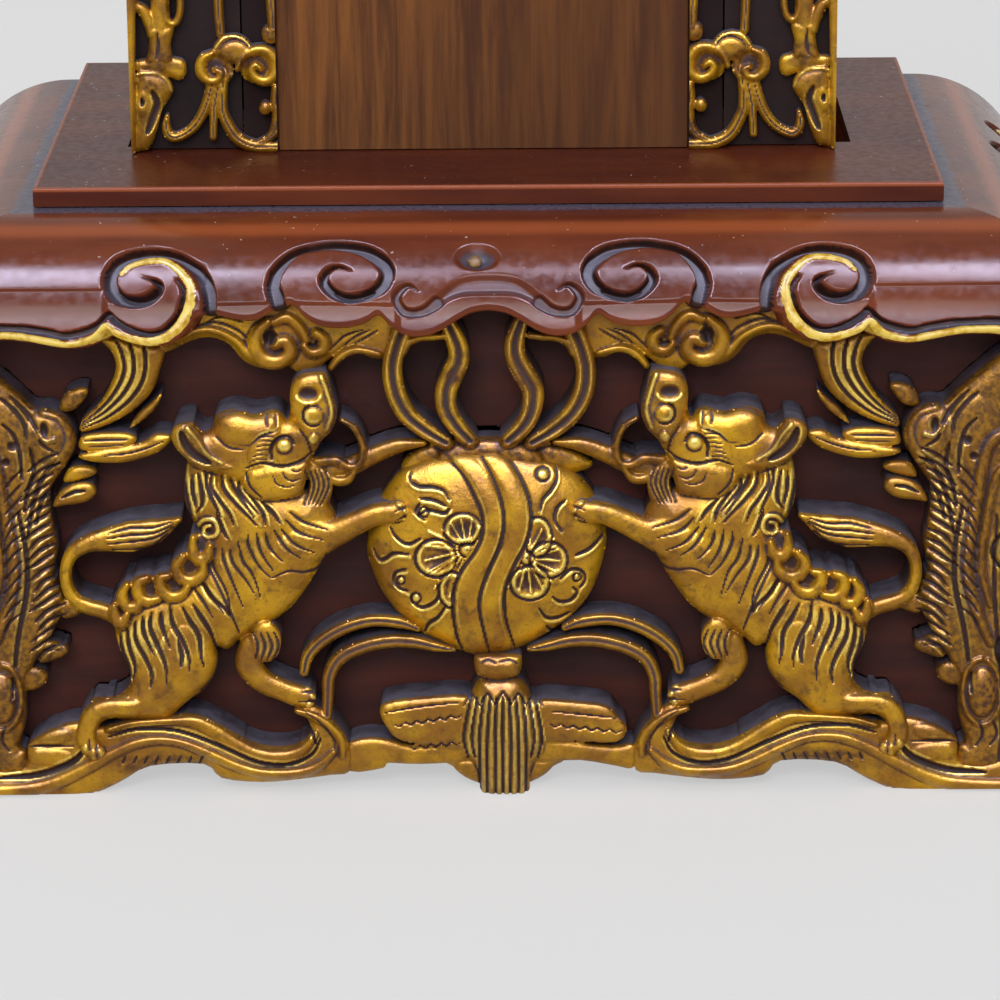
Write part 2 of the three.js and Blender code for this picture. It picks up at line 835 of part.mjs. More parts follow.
// Crest carving: a flaming jewel between clouds, as shares of half the width and of the height
const crestBands = [
  {
    shares: [[0, 0.12], [0.2, 0.16], [0.42, 0.26], [0.6, 0.2], [0.8, 0.22]],
    half: [0.07, 0.07, 0.06, 0.06, 0.04],
    steps: 10,
  },
  {
    shares: [[0.42, 0.26], [0.56, 0.42], [0.62, 0.6], [0.52, 0.66], [0.46, 0.56]],
    half: [0.06, 0.06, 0.05, 0.05, 0.04],
    steps: 10,
  },
  {
    shares: [[0.6, 0.24], [0.74, 0.36], [0.88, 0.36], [0.88, 0.24], [0.8, 0.22]],
    half: [0.05, 0.05, 0.05, 0.05, 0.04],
    steps: 10,
  },
  {
    shares: [[0, 0.36], [0.14, 0.5], [0.26, 0.62], [0.2, 0.76], [0.06, 0.88]],
    half: [0.05, 0.05, 0.05, 0.04, 0.03],
    steps: 8,
  },
  { shares: [[0.1, 0.16], [0.14, 0.34], [0.08, 0.44]], half: [0.05, 0.05, 0.04], steps: 4 },
];
const jewelRadiusShare = 0.2;
const jewelHeightShare = 0.56;

function crestCarving() {
  const back = crestThickness - stripBack + seatGap;
  const front = back + crestReliefHeight;
  const solids = [];
  for (const { shares, half, steps } of crestBands) {
    const points = shares.map(
      ([across, up]) => new THREE.Vector2((across * crestWidth) / 2, up * crestHeight),
    );
    const widths = half.map((share) => share * crestHeight);
    solids.push(band(points, widths, back, front, steps));
    solids.push(band(points.map(mirrored).reverse(), [...widths].reverse(), back, front, steps));
  }
  const radius = jewelRadiusShare * crestHeight;
  const jewel = new THREE.SphereGeometry(1, ballSides, ballRings);
  jewel.scale(radius, crestReliefHeight, radius).translate(0, -back, jewelHeightShare * crestHeight);
  solids.push(jewel);
  const behind = block([-crestWidth, -back, -crestHeight], [crestWidth, caseDepth, crestHeight * 2]);
  return cut(join(solids), [behind]);
}

// Inner tablet: a round-headed board on a small foot
function innerTablet() {
  const half = innerWidth / 2;
  const neck = innerHeight - half;
  const shape = new THREE.Shape();
  shape.moveTo(-innerFootWidth / 2, 0);
  shape.lineTo(innerFootWidth / 2, 0);
  shape.lineTo(innerFootWidth / 2, innerFootHeight);
  shape.lineTo(half, innerFootHeight);
  shape.lineTo(half, neck);
  shape.absarc(0, neck, half, 0, Math.PI, false);
  shape.lineTo(-half, innerFootHeight);
  shape.lineTo(-innerFootWidth / 2, innerFootHeight);
  return uprightPlate(shape.getPoints(roundSides), 0, innerThickness);
}

// Assembly
const tablet = new THREE.Group();

function add(parent, name, geometry, material, place = [0, 0, 0]) {
  const mesh = new THREE.Mesh(geometry, material);
  mesh.name = name;
  mesh.position.set(...place);
  parent.add(mesh);
  return mesh;
}

const base = new THREE.Group();
tablet.add(base);
add(base, "base_top_board", topBoard(), lacquer);
const mortiseCut = block(
  [-mortiseWidth / 2, mortiseFront, shoulderTop - overrun],
  [mortiseWidth / 2, mortiseBack, tierTop + overrun],
);
const tierBlock = block(
  [-tierWidth / 2, tierFront, shoulderTop + seatGap],
  [tierWidth / 2, tierBack, tierTop],
);
add(base, "tier_plate", cut(tierBlock, [mortiseCut]), lacquer);

const outerGround = tierWidth / 2 + groundReach;
add(
  base,
  "front_ground_board",
  block([-outerGround, 0, groundFootHeight], [outerGround, groundThickness, boardsTop]),
  groundLacquer,
  [0, tierFront - groundReach, 0],
);
for (const [side, word] of [[-1, "left"], [1, "right"]]) {
  const outer = side * outerGround;
  const inner = outer - side * groundThickness;
  add(
    base,
    word + "_ground_board",
    block(
      [Math.min(outer, inner), innerFront, groundFootHeight],
      [Math.max(outer, inner), baseBack, boardsTop],
    ),
    groundLacquer,
  );
}
add(base, "front_carving", frontCarving(), gilding, [0, tierFront, 0]);
const sideMiddle = (tierFront + tierBack) / 2;
const rightCarving = add(base, "right_carving", sideCarving(1), gilding, [tierWidth / 2, sideMiddle, 0]);
rightCarving.rotation.z = Math.PI / 2;
const leftCarving = add(base, "left_carving", sideCarving(-1), gilding, [-tierWidth / 2, sideMiddle, 0]);
leftCarving.rotation.z = -Math.PI / 2;

add(
  base,
  "back_board",
  block([-innerHalfWidth, 0, 0], [innerHalfWidth, backBoardThickness, boardsTop]),
  lacquer,
  [0, baseBack - backBoardThickness, 0],
);

for (const [along, depthWord] of [[innerFront, "front"], [innerBack - postWidth, "back"]]) {
  for (const [left, sideWord] of [[-innerHalfWidth, "left"], [innerHalfWidth - postWidth, "right"]]) {
    add(
      base,
      depthWord + "_" + sideWord + "_post",
      block([0, 0, 0], [postWidth, postWidth, boardsTop]),
      plainWood,
      [left, along, 0],
    );
  }
}

const cheekLow = tenonRestTop + seatGap;
for (const [front, name] of [[mortiseFront - cheekWidth, "front_cheek"], [mortiseBack, "rear_cheek"]]) {
  add(
    base,
    name,
    block([-innerHalfWidth, 0, 0], [innerHalfWidth, cheekWidth, boardsTop - cheekLow]),
    plainWood,
    [0, front, cheekLow],
  );
}
const restWidth = mortiseDepth + cheekWidth;
add(
  base,
  "tenon_rest",
  block([-innerHalfWidth, 0, 0], [innerHalfWidth, restWidth, tenonRestThickness]),
  plainWood,
  [0, mortiseFront - cheekWidth / 2, tenonRestTop - tenonRestThickness],
);

const nailShaft = rod(nailRadius, nailLength).translate(0, 0, -nailLength / 2);
const nailHead = rod(nailHeadRadius, nailHeadThickness).translate(0, 0, seatGap + nailHeadThickness / 2);
const nailNeck = rod(nailRadius, seatGap * 2).translate(0, 0, seatGap / 2);
add(base, "lip_nail", alongNail(join([nailShaft, nailNeck, nailHead]), 0), nailBrass);

const caseGroup = new THREE.Group();
caseGroup.position.set(caseShift, mortiseFront + caseClearance, tierTop);
tablet.add(caseGroup);

for (const [side, word] of [[-1, "left"], [1, "right"]]) {
  const outer = (side * caseWidth) / 2;
  const inner = outer - side * stileWidth;
  const stile = block([Math.min(outer, inner), 0, -tenonDepth], [Math.max(outer, inner), caseDepth, stileTop]);
  const pegSocket = pegHole(side, crestPegLength * 2, crestPegRadius + seatGap).translate(0, 0, crestFoot);
  add(caseGroup, word + "_stile", cut(stile, [pegSocket]), plainWood);
  const grooveSide = side * (tongueHalfWidth + panelRunClearance);
  const fillet = block(
    [Math.min(outer, grooveSide), tongueFront, seatGap],
    [Math.max(outer, grooveSide), -seatGap, stileTop],
  );
  add(caseGroup, word + "_groove_fillet", cut(fillet, [pegSocket]), lacquer);
  add(caseGroup, word + "_pierced_strip", piercedStrip(side), gilding);
  const pegBack = crestPegLength;
  const pegFront = stripBack - crestPegSink + seatGap;
  const peg = new THREE.CylinderGeometry(crestPegRadius, crestPegRadius, pegBack - pegFront, roundSides);
  add(caseGroup, word + "_crest_peg", peg, plainWood, [
    side * (caseWidth / 2 - crestPegInset),
    (pegBack + pegFront) / 2 - seatGap,
    crestFoot + crestPegHeight,
  ]);
}
add(
  caseGroup,
  "bottom_rail",
  block([-caseInnerHalf, 0, -tenonDepth], [caseInnerHalf, caseDepth, sillHeight]),
  plainWood,
);
add(
  caseGroup,
  "top_rail",
  block([-caseInnerHalf, 0, stileTop - headRailHeight], [caseInnerHalf, caseDepth, stileTop]),
  plainWood,
);
add(
  caseGroup,
  "case_back",
  block(
    [-caseInnerHalf, caseDepth - caseBackThickness, sillHeight + seatGap],
    [caseInnerHalf, caseDepth, stileTop - headRailHeight - seatGap],
  ),
  plainWood,
);
add(caseGroup, "inner_tablet", innerTablet(), plainWood, [
  0,
  caseDepth - caseBackThickness - seatGap,
  sillHeight + seatGap,
]);
add(caseGroup, "crest_board", crestBoard(), lacquer, [0, 0, crestFoot]);
add(caseGroup, "crest_carving", crestCarving(), gilding, [0, 0, crestFoot]);

const faceBody = block([-panelHalfWidth, panelFront, seatGap], [panelHalfWidth, tongueBack, panelHeight]);
const faceTongues = block(
  [-tongueHalfWidth, tongueFront, seatGap],
  [tongueHalfWidth, tongueBack, panelHeight],
);
const facePanel = new THREE.Group();
caseGroup.add(facePanel);
add(facePanel, "face_panel", join([faceBody, faceTongues]), faceWood);

export default tablet;
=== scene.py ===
import json
import math

import bmesh
import bpy
import numpy as np
from mathutils import Matrix, Vector


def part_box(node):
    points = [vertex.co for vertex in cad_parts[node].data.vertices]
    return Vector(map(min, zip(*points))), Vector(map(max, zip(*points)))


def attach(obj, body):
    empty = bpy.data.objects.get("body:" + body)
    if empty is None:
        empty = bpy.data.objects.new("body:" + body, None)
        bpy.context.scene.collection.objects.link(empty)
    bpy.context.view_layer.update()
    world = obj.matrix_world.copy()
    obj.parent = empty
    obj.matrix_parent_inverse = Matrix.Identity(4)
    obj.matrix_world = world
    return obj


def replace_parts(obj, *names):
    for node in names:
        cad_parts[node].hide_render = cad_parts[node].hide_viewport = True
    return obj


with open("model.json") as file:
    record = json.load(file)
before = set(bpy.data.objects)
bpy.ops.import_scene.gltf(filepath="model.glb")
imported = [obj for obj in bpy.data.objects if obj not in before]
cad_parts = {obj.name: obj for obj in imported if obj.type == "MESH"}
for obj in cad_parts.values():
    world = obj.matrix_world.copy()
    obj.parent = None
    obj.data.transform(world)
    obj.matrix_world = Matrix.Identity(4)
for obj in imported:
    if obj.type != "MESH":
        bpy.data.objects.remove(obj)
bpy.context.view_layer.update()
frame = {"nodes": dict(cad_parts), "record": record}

# Lengths below are in millimetres, and meshes are made in metres
MM = 0.001
FAR = 1000.0

# Camera that the photograph's perspective fits: place in mm, angles in radians, focal length in px
EYE = np.array((7.617, -1002.325, 370.442))
PITCH = 0.31438
YAW = -0.005843
ROLL = -0.008318
FOCAL_PX = 4468.5
IMAGE_PX = 1000
CENTRE_PX = IMAGE_PX / 2
SENSOR = 36.0
CLIP_START, CLIP_END = 0.01, 100


def corners(node):
    low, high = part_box(node)
    return np.array(low) / MM, np.array(high) / MM


TOP_LOW, TOP_HIGH = corners("base_top_board")
TIER_LOW, TIER_HIGH = corners("tier_plate")
CARVING_LOW, CARVING_HIGH = corners("front_carving")
STRIP_LOW, STRIP_HIGH = corners("left_pierced_strip")
PANEL_LOW, PANEL_HIGH = corners("face_panel")
CREST_LOW, CREST_HIGH = corners("crest_board")
CREST_CARVING_LOW, CREST_CARVING_HIGH = corners("crest_carving")

# Reaches are measured forwards from the front of the tier plate
TIER_FRONT = TIER_LOW[1]
TIER_HALF = TIER_HIGH[0]
BASE_BACK = TOP_HIGH[1]
SHOULDER = TOP_HIGH[2]
OVERHANG = TIER_FRONT - TOP_LOW[1]
CARVING_REACH = TIER_FRONT - CARVING_LOW[1]
CARVING_BACK = TIER_FRONT - CARVING_HIGH[1]
BOARDS_TOP = corners("front_ground_board")[1][2]
CASE_SHIFT = (PANEL_LOW[0] + PANEL_HIGH[0]) / 2
FLOOR_GAP = 0.05
SEAM = 0.3

# How far a grid reaches past its carving
MARGIN = 1.0

# Cushion moulding: a flat strip, and then an arc
MOULDING_FLAT = 4.0
MOULDING_RADIUS = 28.0
LIP_THICKNESS = 7.0
LIP_INNER = OVERHANG - LIP_THICKNESS


# From the photograph to the object

def camera_axes():
    forward = np.array((math.sin(YAW) * math.cos(PITCH), math.cos(YAW) * math.cos(PITCH), -math.sin(PITCH)))
    level = np.array((math.cos(YAW), -math.sin(YAW), 0.0))
    rise = np.cross(level, forward)
    right = math.cos(ROLL) * level + math.sin(ROLL) * rise
    up = -math.sin(ROLL) * level + math.cos(ROLL) * rise
    return forward, right, up


FORWARD, RIGHT, UP = camera_axes()


def rays(points):
    """Ways from the eye through pixels."""
    across, down = ((np.asarray(points, float).reshape(-1, 2) - CENTRE_PX) / FOCAL_PX).T
    return FORWARD + across[:, None] * RIGHT - down[:, None] * UP


def on_upright(points, y):
    """Places across and up on the upright plane at this y, from pixels."""
    ray = rays(points)
    spots = EYE + ray * ((y - EYE[1]) / ray[:, 1])[:, None]
    return spots[:, [0, 2]]


def on_moulding(points):
    """Places across and down the front moulding, from pixels."""
    ray = rays(points)
    axis = np.array((TIER_FRONT - MOULDING_FLAT, SHOULDER - MOULDING_RADIUS))
    start = EYE[1:] - axis
    way = ray[:, 1:]
    a = (way * way).sum(1)
    b = (way * start).sum(1)
    c = (start * start).sum() - MOULDING_RADIUS ** 2
    root = np.sqrt(np.maximum(b * b - a * c, 0.0))
    spots = EYE + ray * ((-b - root) / a)[:, None]
    angle = np.arctan2(axis[0] - spots[:, 1], spots[:, 2] - axis[1])
    return np.stack((spots[:, 0], MOULDING_FLAT + MOULDING_RADIUS * angle), 1)


def to_pixels(x, y, z):
    """The pixels where the camera sees these places."""
    way = np.stack(np.broadcast_arrays(x, y, z), -1) - EYE
    depth = way @ FORWARD
    return CENTRE_PX + FOCAL_PX * (way @ RIGHT) / depth, CENTRE_PX - FOCAL_PX * (way @ UP) / depth


# Millimetres per pixel on the carved front
PX = float(np.ptp(on_upright(((0, CENTRE_PX), (IMAGE_PX, CENTRE_PX)), CARVING_LOW[1])[:, 0])) / IMAGE_PX


# Curves and distances

def smooth_path(points, closed=False, steps=4):
    """A smooth curve through the points, with the same number of steps between each two."""
    points = np.asarray(points, float)
    if closed:
        knots = np.concatenate((points[-1:], points, points[:2]))
    else:
        knots = np.concatenate((2 * points[:1] - points[1:2], points, 2 * points[-1:] - points[-2:-1]))
    spots = []
    for k in range(1, len(knots) - 2):
        p0, p1, p2, p3 = knots[k - 1 : k + 3]
        for step in range(steps):
            t = step / steps
            spots.append(
                p1
                + (p2 - p0) * t / 2
                + (2 * p0 - 5 * p1 + 4 * p2 - p3) * t * t / 2
                + (3 * p1 - p0 - 3 * p2 + p3) * t ** 3 / 2
            )
    spots.append(knots[-2])
    return np.array(spots)


def arc(centre, radii, start=0, end=360, count=12):
    """Points on an ellipse, from one angle to another, clockwise in the photograph from its right."""
    angles = np.radians(np.linspace(start, end, count))
    return [(centre[0] + radii[0] * math.cos(a), centre[1] + radii[1] * math.sin(a)) for a in angles]


def curl(centre, radius, start, turns, tight=0.25, count=14):
    """Points on a spiral that winds in to its centre, as far as the share tight of its radius."""
    points = []
    for share in np.linspace(0, 1, count):
        angle = math.radians(start + 360 * turns * share)
        reach = radius * (1 - (1 - tight) * share)
        points.append((centre[0] + reach * math.cos(angle), centre[1] + reach * math.sin(angle)))
    return points


def zigzag(start, end, teeth, depth):
    """Points along a saw edge from start to end, whose teeth point down."""
    count = 2 * teeth + 1
    line = np.linspace(start, end, count)
    line[:, 1] += depth * (np.arange(count) % 2)
    return line


def fan(first, last, shares):
    """Paths from a first to a last: at these shares of the way, or so many evenly spaced."""
    if isinstance(shares, int):
        shares = np.linspace(0, 1, shares)
    first, last = np.asarray(first, float), np.asarray(last, float)
    return [first + (last - first) * share for share in shares]


def path_distance(x, z, path):
    """Distance from each place to a path, and the share of the path where it is nearest."""
    best = np.full(x.shape, FAR * FAR)
    share = np.zeros(x.shape)
    count = len(path) - 1
    for k in range(count):
        (ax, az), (bx, bz) = path[k], path[k + 1]
        dx, dz = bx - ax, bz - az
        length = dx * dx + dz * dz
        if length == 0:
            continue
        t = np.clip(((x - ax) * dx + (z - az) * dz) / length, 0, 1)
        away = (x - ax - t * dx) ** 2 + (z - az - t * dz) ** 2
        closer = away < best
        best = np.where(closer, away, best)
        share = np.where(closer, (k + t) / count, share)
    return np.sqrt(best), share


def outline_depth(x, z, path):
    """How far each place lies inside a closed path; negative outside."""
    away, _ = path_distance(x, z, path)
    inside = np.zeros(x.shape, bool)
    for (ax, az), (bx, bz) in zip(path[:-1], path[1:]):
        if az != bz:
            inside ^= ((az > z) != (bz > z)) & (x < (bx - ax) * (z - az) / (bz - az) + ax)
    return np.where(inside, away, -away)


def round_over(share):
    """A quarter round that climbs from 0 to 1."""
    share = np.clip(share, 0, 1)
    return np.sqrt(1 - (1 - share) ** 2)


def moving_mean(values, reach):
    """Mean over a square of cells, edges repeated."""
    window = 2 * reach + 1
    for axis in (0, 1):
        padding = [(0, 0), (0, 0)]
        padding[axis] = (reach + 1, reach)
        total = np.cumsum(np.pad(values, padding, mode="edge"), axis=axis)
        size = values.shape[axis]
        upper = np.take(total, range(window, window + size), axis=axis)
        lower = np.take(total, range(0, size), axis=axis)
        values = (upper - lower) / window
    return values


# Lower edge of the lip, on the left half
LIP_EDGE_PX = (
    (-115, 336), (-101, 340), (-60, 350), (-30, 342), (0, 341), (20, 343), (42, 347), (63, 350), (84, 347),
    (97, 338), (105, 331), (113, 338), (125, 343), (140, 347), (159, 346), (172, 341), (182, 331), (190, 318),
    (200, 314), (213, 314), (229, 318), (243, 320), (255, 318), (268, 310), (278, 307), (290, 303),
    (301, 315), (316, 325), (335, 328), (353, 326), (366, 321), (377, 314), (388, 325), (399, 333),
    (412, 337), (427, 336), (441, 330), (456, 320), (471, 312), (488, 309),
)
LIP_EDGE = on_moulding(smooth_path(LIP_EDGE_PX))


def lip_end(across):
    """How far down the moulding its lip ends, at a place across the front."""
    return np.interp(-np.abs(across), LIP_EDGE[:, 0], LIP_EDGE[:, 1])


def moulding_profile(down):
    """Reach, height and angle of the moulding at a distance down it from the tier's edge."""
    angle = np.maximum(down - MOULDING_FLAT, 0) / MOULDING_RADIUS
    reach = np.minimum(down, MOULDING_FLAT) + MOULDING_RADIUS * np.sin(angle)
    return reach, SHOULDER - MOULDING_RADIUS * (1 - np.cos(angle)), angle


# Carved relief

# How far round a form cells count, and how wide, dark and crisp the painted parts of a stroke are; the dark
# paint is painted shade and dirt in what is cut in
FORM_CELLS = 2
CHANNEL_SHARE = 0.5
CHANNEL_PAINT = 0.6
BED_PAINT_GAIN = 3
GILT_CLEAN_GAIN = 2
GILT_GAIN = 2.5


class Relief:
    """Carving over a surface, as heights on a grid. Points are given in px or shares, through to_plane."""

    def __init__(self, x, z, cell, to_plane, unit):
        self.x, self.z = x, z
        self.cell = cell
        self.to_plane = to_plane
        self.unit = unit
        self.plane = None
        self.ceiling = FAR
        self.clear()

    def clear(self):
        self.inside = np.full(self.x.shape, -FAR)
        self.body = np.full(self.x.shape, -FAR)
        # paint holds the painted shade and dirt of cuts, channels and hollows
        self.detail, self.paint, self.gold, self.dull = np.zeros((4, *self.x.shape))

    def height(self):
        return self.body + self.detail

    def window(self, path, margin):
        """Slices of the grid that hold every cell within a margin of the path's box."""
        low, high = path.min(0) - margin, path.max(0) + margin
        close = (self.x > low[0]) & (self.x < high[0]) & (self.z > low[1]) & (self.z < high[1])
        spans = []
        for axis in (1, 0):
            found = np.flatnonzero(close.any(axis))
            spans.append(slice(found[0], found[-1] + 1) if len(found) else slice(0, 0))
        return tuple(spans)

    def near(self, points, half, steps=4, cells=1):
        """The cells near a path: their view, distance from it, share of it, and its half width there."""
        path = smooth_path(self.to_plane(points), False, steps)
        view = self.window(path, np.max(half) * self.unit + cells * self.cell)
        away, share = path_distance(self.x[view], self.z[view], path)
        widths = np.atleast_1d(np.asarray(half, float)) * self.unit
        return view, away, share, np.interp(share, np.linspace(0, 1, len(widths)), widths)

    def merge(self, view, depth, height, blend):
        """Adds a form; where two meet, blend rounds the valley between them."""
        old = self.body[view]
        new = np.where(depth > -self.cell, height, -FAR)
        joined = np.maximum(old, new)
        if blend:
            close = np.maximum(blend - np.abs(old - new), 0)
            joined = joined + close * close / (4 * blend)
        else:
            for layer in (self.detail, self.paint):
                layer[view] = np.where(new > old, 0, layer[view])
        self.body[view] = joined
        self.inside[view] = np.maximum(self.inside[view], depth)

    def form(self, points, top, edge, drop, blend=0.0, steps=4):
        """A solid form inside an outline, rounded over within edge mm of it by drop mm."""
        path = smooth_path(self.to_plane(points), True, steps)
        view = self.window(path, FORM_CELLS * self.cell)
        depth = outline_depth(self.x[view], self.z[view], path)
        self.merge(view, depth, top - drop * (1 - round_over(depth / edge)), blend)

    def band(self, points, half, top, drop, channel=0.0, blend=0.0):
        """A rounded band along a path, with a channel sunk in its middle."""
        view, away, _, width = self.near(points, half, cells=FORM_CELLS)
        depth = width - away
        height = top - drop * (1 - round_over(depth / width))
        self.merge(view, depth, height, blend)
        if channel:
            sunk = np.clip(1 - (away / (width * CHANNEL_SHARE)) ** 2, 0, 1)
            sunk = sunk * ((depth > 0) & (self.body[view] <= height + self.cell))
            self.detail[view] -= channel * sunk
            self.paint[view] = np.maximum(self.paint[view], CHANNEL_PAINT * sunk)

    def groove(self, points, half, depth, paint=1.0, steps=4, ends=0.3):
        """A carved line, tapered at its ends to this share of its width."""
        view, away, share, width = self.near(points, half, steps)
        taper = ends + (1 - ends) * np.sqrt(np.clip(np.sin(math.pi * share), 0, 1))
        cut = np.clip(1 - (away / (width * taper)) ** 2, 0, 1)
        self.detail[view] -= depth * cut
        self.paint[view] = np.maximum(self.paint[view], paint * cut)

    def ridge(self, points, half, lift, clean=0.0, steps=4):
        """A raised line; clean takes that share of the dark paint off it."""
        view, away, _, width = self.near(points, half, steps)
        bump = round_over(1 - away / width)
        self.detail[view] += lift * bump
        self.paint[view] *= 1 - clean * bump

    def channel(self, points, half, depth, paint, wall=3.0):
        """A carved channel with steep walls and a flat bed, as wide as half says at each point."""
        view, away, _, width = self.near(points, half)
        cut = np.clip((width - away) / (wall * self.unit), 0, 1)
        cut = cut * cut * (3 - 2 * cut)
        self.detail[view] = np.minimum(self.detail[view], -depth * cut)
        self.paint[view] = np.maximum(self.paint[view], paint * np.minimum(BED_PAINT_GAIN * cut, 1))

    def gild(self, points, half, lift):
        """A raised gilt line."""
        view, away, _, width = self.near(points, half)
        bump = round_over(1 - away / width)
        self.detail[view] += (lift - self.detail[view]) * bump
        self.paint[view] *= 1 - np.minimum(GILT_CLEAN_GAIN * bump, 1)
        self.gold[view] = np.maximum(self.gold[view], np.minimum(GILT_GAIN * bump, 1))

    def dome(self, centre, radii, lift, paint=0.0):
        """A round bump, or a dimple where lift is negative."""
        spot = self.to_plane([centre])[0]
        size = np.array(radii, float) * self.unit
        view = self.window(np.array([spot - size, spot + size]), 0)
        far = np.hypot((self.x[view] - spot[0]) / size[0], (self.z[view] - spot[1]) / size[1])
        bowl = np.clip(1 - far * far, 0, 1)
        self.detail[view] += lift * (round_over(1 - far) if lift > 0 else bowl)
        self.paint[view] = np.maximum(self.paint[view], paint * bowl)

    def wipe(self, centre, half, left):
        """Takes the dark paint off a small square patch, but for the share that is left."""
        self.paint[self.window(self.to_plane([centre]), half * self.unit)] *= left

    def tarnish(self, centre, radii, amount):
        """Dulls the gold in a soft round patch."""
        spot = self.to_plane([centre])[0]
        size = np.array(radii, float) * self.unit
        far = np.hypot((self.x - spot[0]) / size[0], (self.z - spot[1]) / size[1])
        self.dull = np.maximum(self.dull, amount * np.clip(2 - 2 * far, 0, 1))


# Shapes that tables of strokes may name, and which of a stroke's values is its top
SHAPES = {"arc": arc, "curl": curl, "zigzag": zigzag}
TOPS = {"form": 0, "band": 1}


def traced(place):
    """The paths that a place in a table of strokes stands for."""
    word, *values = place
    if word == "lines":
        return values[0]
    if word == "fan":
        return fan(*values)
    return [SHAPES[word](*values)] if isinstance(word, str) else [place]


def carve(relief, level, strokes, shift=(0, 0)):
    """Carves a table of strokes: a method of Relief, a place, and values, whose tops are given from level.

    A stroke that starts with "each" carves a table of its own at several spots.
    """
    for word, place, *values in strokes:
        if word == "each":
            for spot in place:
                carve(relief, level, values[0], np.add(shift, spot))
            continue
        if word in TOPS:
            values[TOPS[word]] += level
        for points in traced(place):
            getattr(relief, word)(np.asarray(points, float) + shift, *values)


def flat_relief(low, high, cell, to_plane, unit):
    """A relief over an upright rectangle, in mm."""
    across = np.arange(low[0], high[0] + cell, cell)
    up = np.arange(low[1], high[1] + cell, cell)
    x, z = np.meshgrid(across, up, indexing="ij")
    return Relief(x, z, cell, to_plane, unit)


# From a relief to a mesh

# Cells this near to an outline are moved onto it, in cells, however slowly it falls off there
SNAP_CELLS = 0.5
LEAST_SLOPE = 0.25

# How far down its walls a carving is as gilt as its face
FRINGE = 1.3

# What counts as raised, cut in and creased, in mm and shares: what is cut in or creased gets painted shade,
# what is raised gets a painted highlight with wear, and the walls get painted shade
CLEAN_REACH = 1.1
RAISED_FULL = 0.35
CREASE_SHADE_FULL = 0.8
CREASE_SHADE_START = 0.6
CREASE_SHADE_FADE = 1.2
HIGHLIGHT_AND_WEAR_GAIN = 0.8
HIGHLIGHT_AND_WEAR_LOSS = 0.2
FRINGE_SHADE = 0.8


def make_object(name, mesh, material, body):
    while mesh.materials:
        mesh.materials.pop(index=0)
    mesh.materials.append(material)
    piece = bpy.data.objects.new(name, mesh)
    bpy.context.scene.collection.objects.link(piece)
    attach(piece, body)
    return piece


def set_values(mesh, name, values):
    attribute = mesh.attributes.new(name, "FLOAT", "POINT")
    attribute.data.foreach_set("value", np.asarray(values, np.float32))


def make_solid(mesh):
    """Turns every face of a closed mesh outwards."""
    net = bmesh.new()
    net.from_mesh(mesh)
    bmesh.ops.recalc_face_normals(net, faces=net.faces)
    net.to_mesh(mesh)
    net.free()


def fit_outline(relief, draw, limit):
    """Carves, moves the cells beside the outline onto it, and carves again; tells which cells to keep."""
    draw(relief)
    limit(relief)
    inside = np.maximum(relief.inside, -FORM_CELLS * relief.cell)
    slope_x, slope_z = np.gradient(inside, relief.cell)
    steep = np.maximum(slope_x ** 2 + slope_z ** 2, LEAST_SLOPE)
    near = np.abs(inside) < SNAP_CELLS * relief.cell * np.sqrt(steep)
    relief.x = relief.x - np.where(near, inside * slope_x / steep, 0)
    relief.z = relief.z - np.where(near, inside * slope_z / steep, 0)
    relief.clear()
    draw(relief)
    limit(relief)
    return (inside > 0) | near, inside


def grid_faces(keep):
    """Quads and triangles between the kept cells of a grid."""
    index = np.arange(keep.size).reshape(keep.shape)
    here, after = slice(None, -1), slice(1, None)
    views = ((here, here), (after, here), (after, after), (here, after))
    ring = [index[view] for view in views]
    kept = [keep[view] for view in views]
    count = sum(k.astype(int) for k in kept)
    quads = np.stack([corner[count == 4] for corner in ring], 1)
    triangles = []
    for missing in range(4):
        chosen = (count == 3) & ~kept[missing]
        rest = [ring[(missing + turn) % 4][chosen] for turn in (1, 2, 3)]
        triangles.append(np.stack(rest, 1))
    return quads, np.concatenate(triangles)


def open_edges(quads, triangles, total):
    """Starts and ends of the edges that only one face has."""
    starts = np.concatenate([quads.ravel(), triangles.ravel()])
    ends = np.concatenate([np.roll(quads, -1, 1).ravel(), np.roll(triangles, -1, 1).ravel()])
    single = ~np.isin(starts * total + ends, ends * total + starts)
    return starts[single], ends[single]


def new_numbers(kept, total):
    """Numbers from 0 for the cells that are kept."""
    numbers = np.full(total, -1)
    numbers[kept] = np.arange(len(kept))
    return numbers


def seen_places(relief, reach):
    """Places across and up at this reach, on the lines of sight to the plane that the relief is drawn on."""
    x, z = relief.x, relief.z
    if relief.plane is not None:
        share = (reach - relief.plane) / (TIER_FRONT - relief.plane - EYE[1])
        x, z = x + share * (EYE[0] - x), z + share * (EYE[2] - z)
    return x.flatten(), z.flatten()


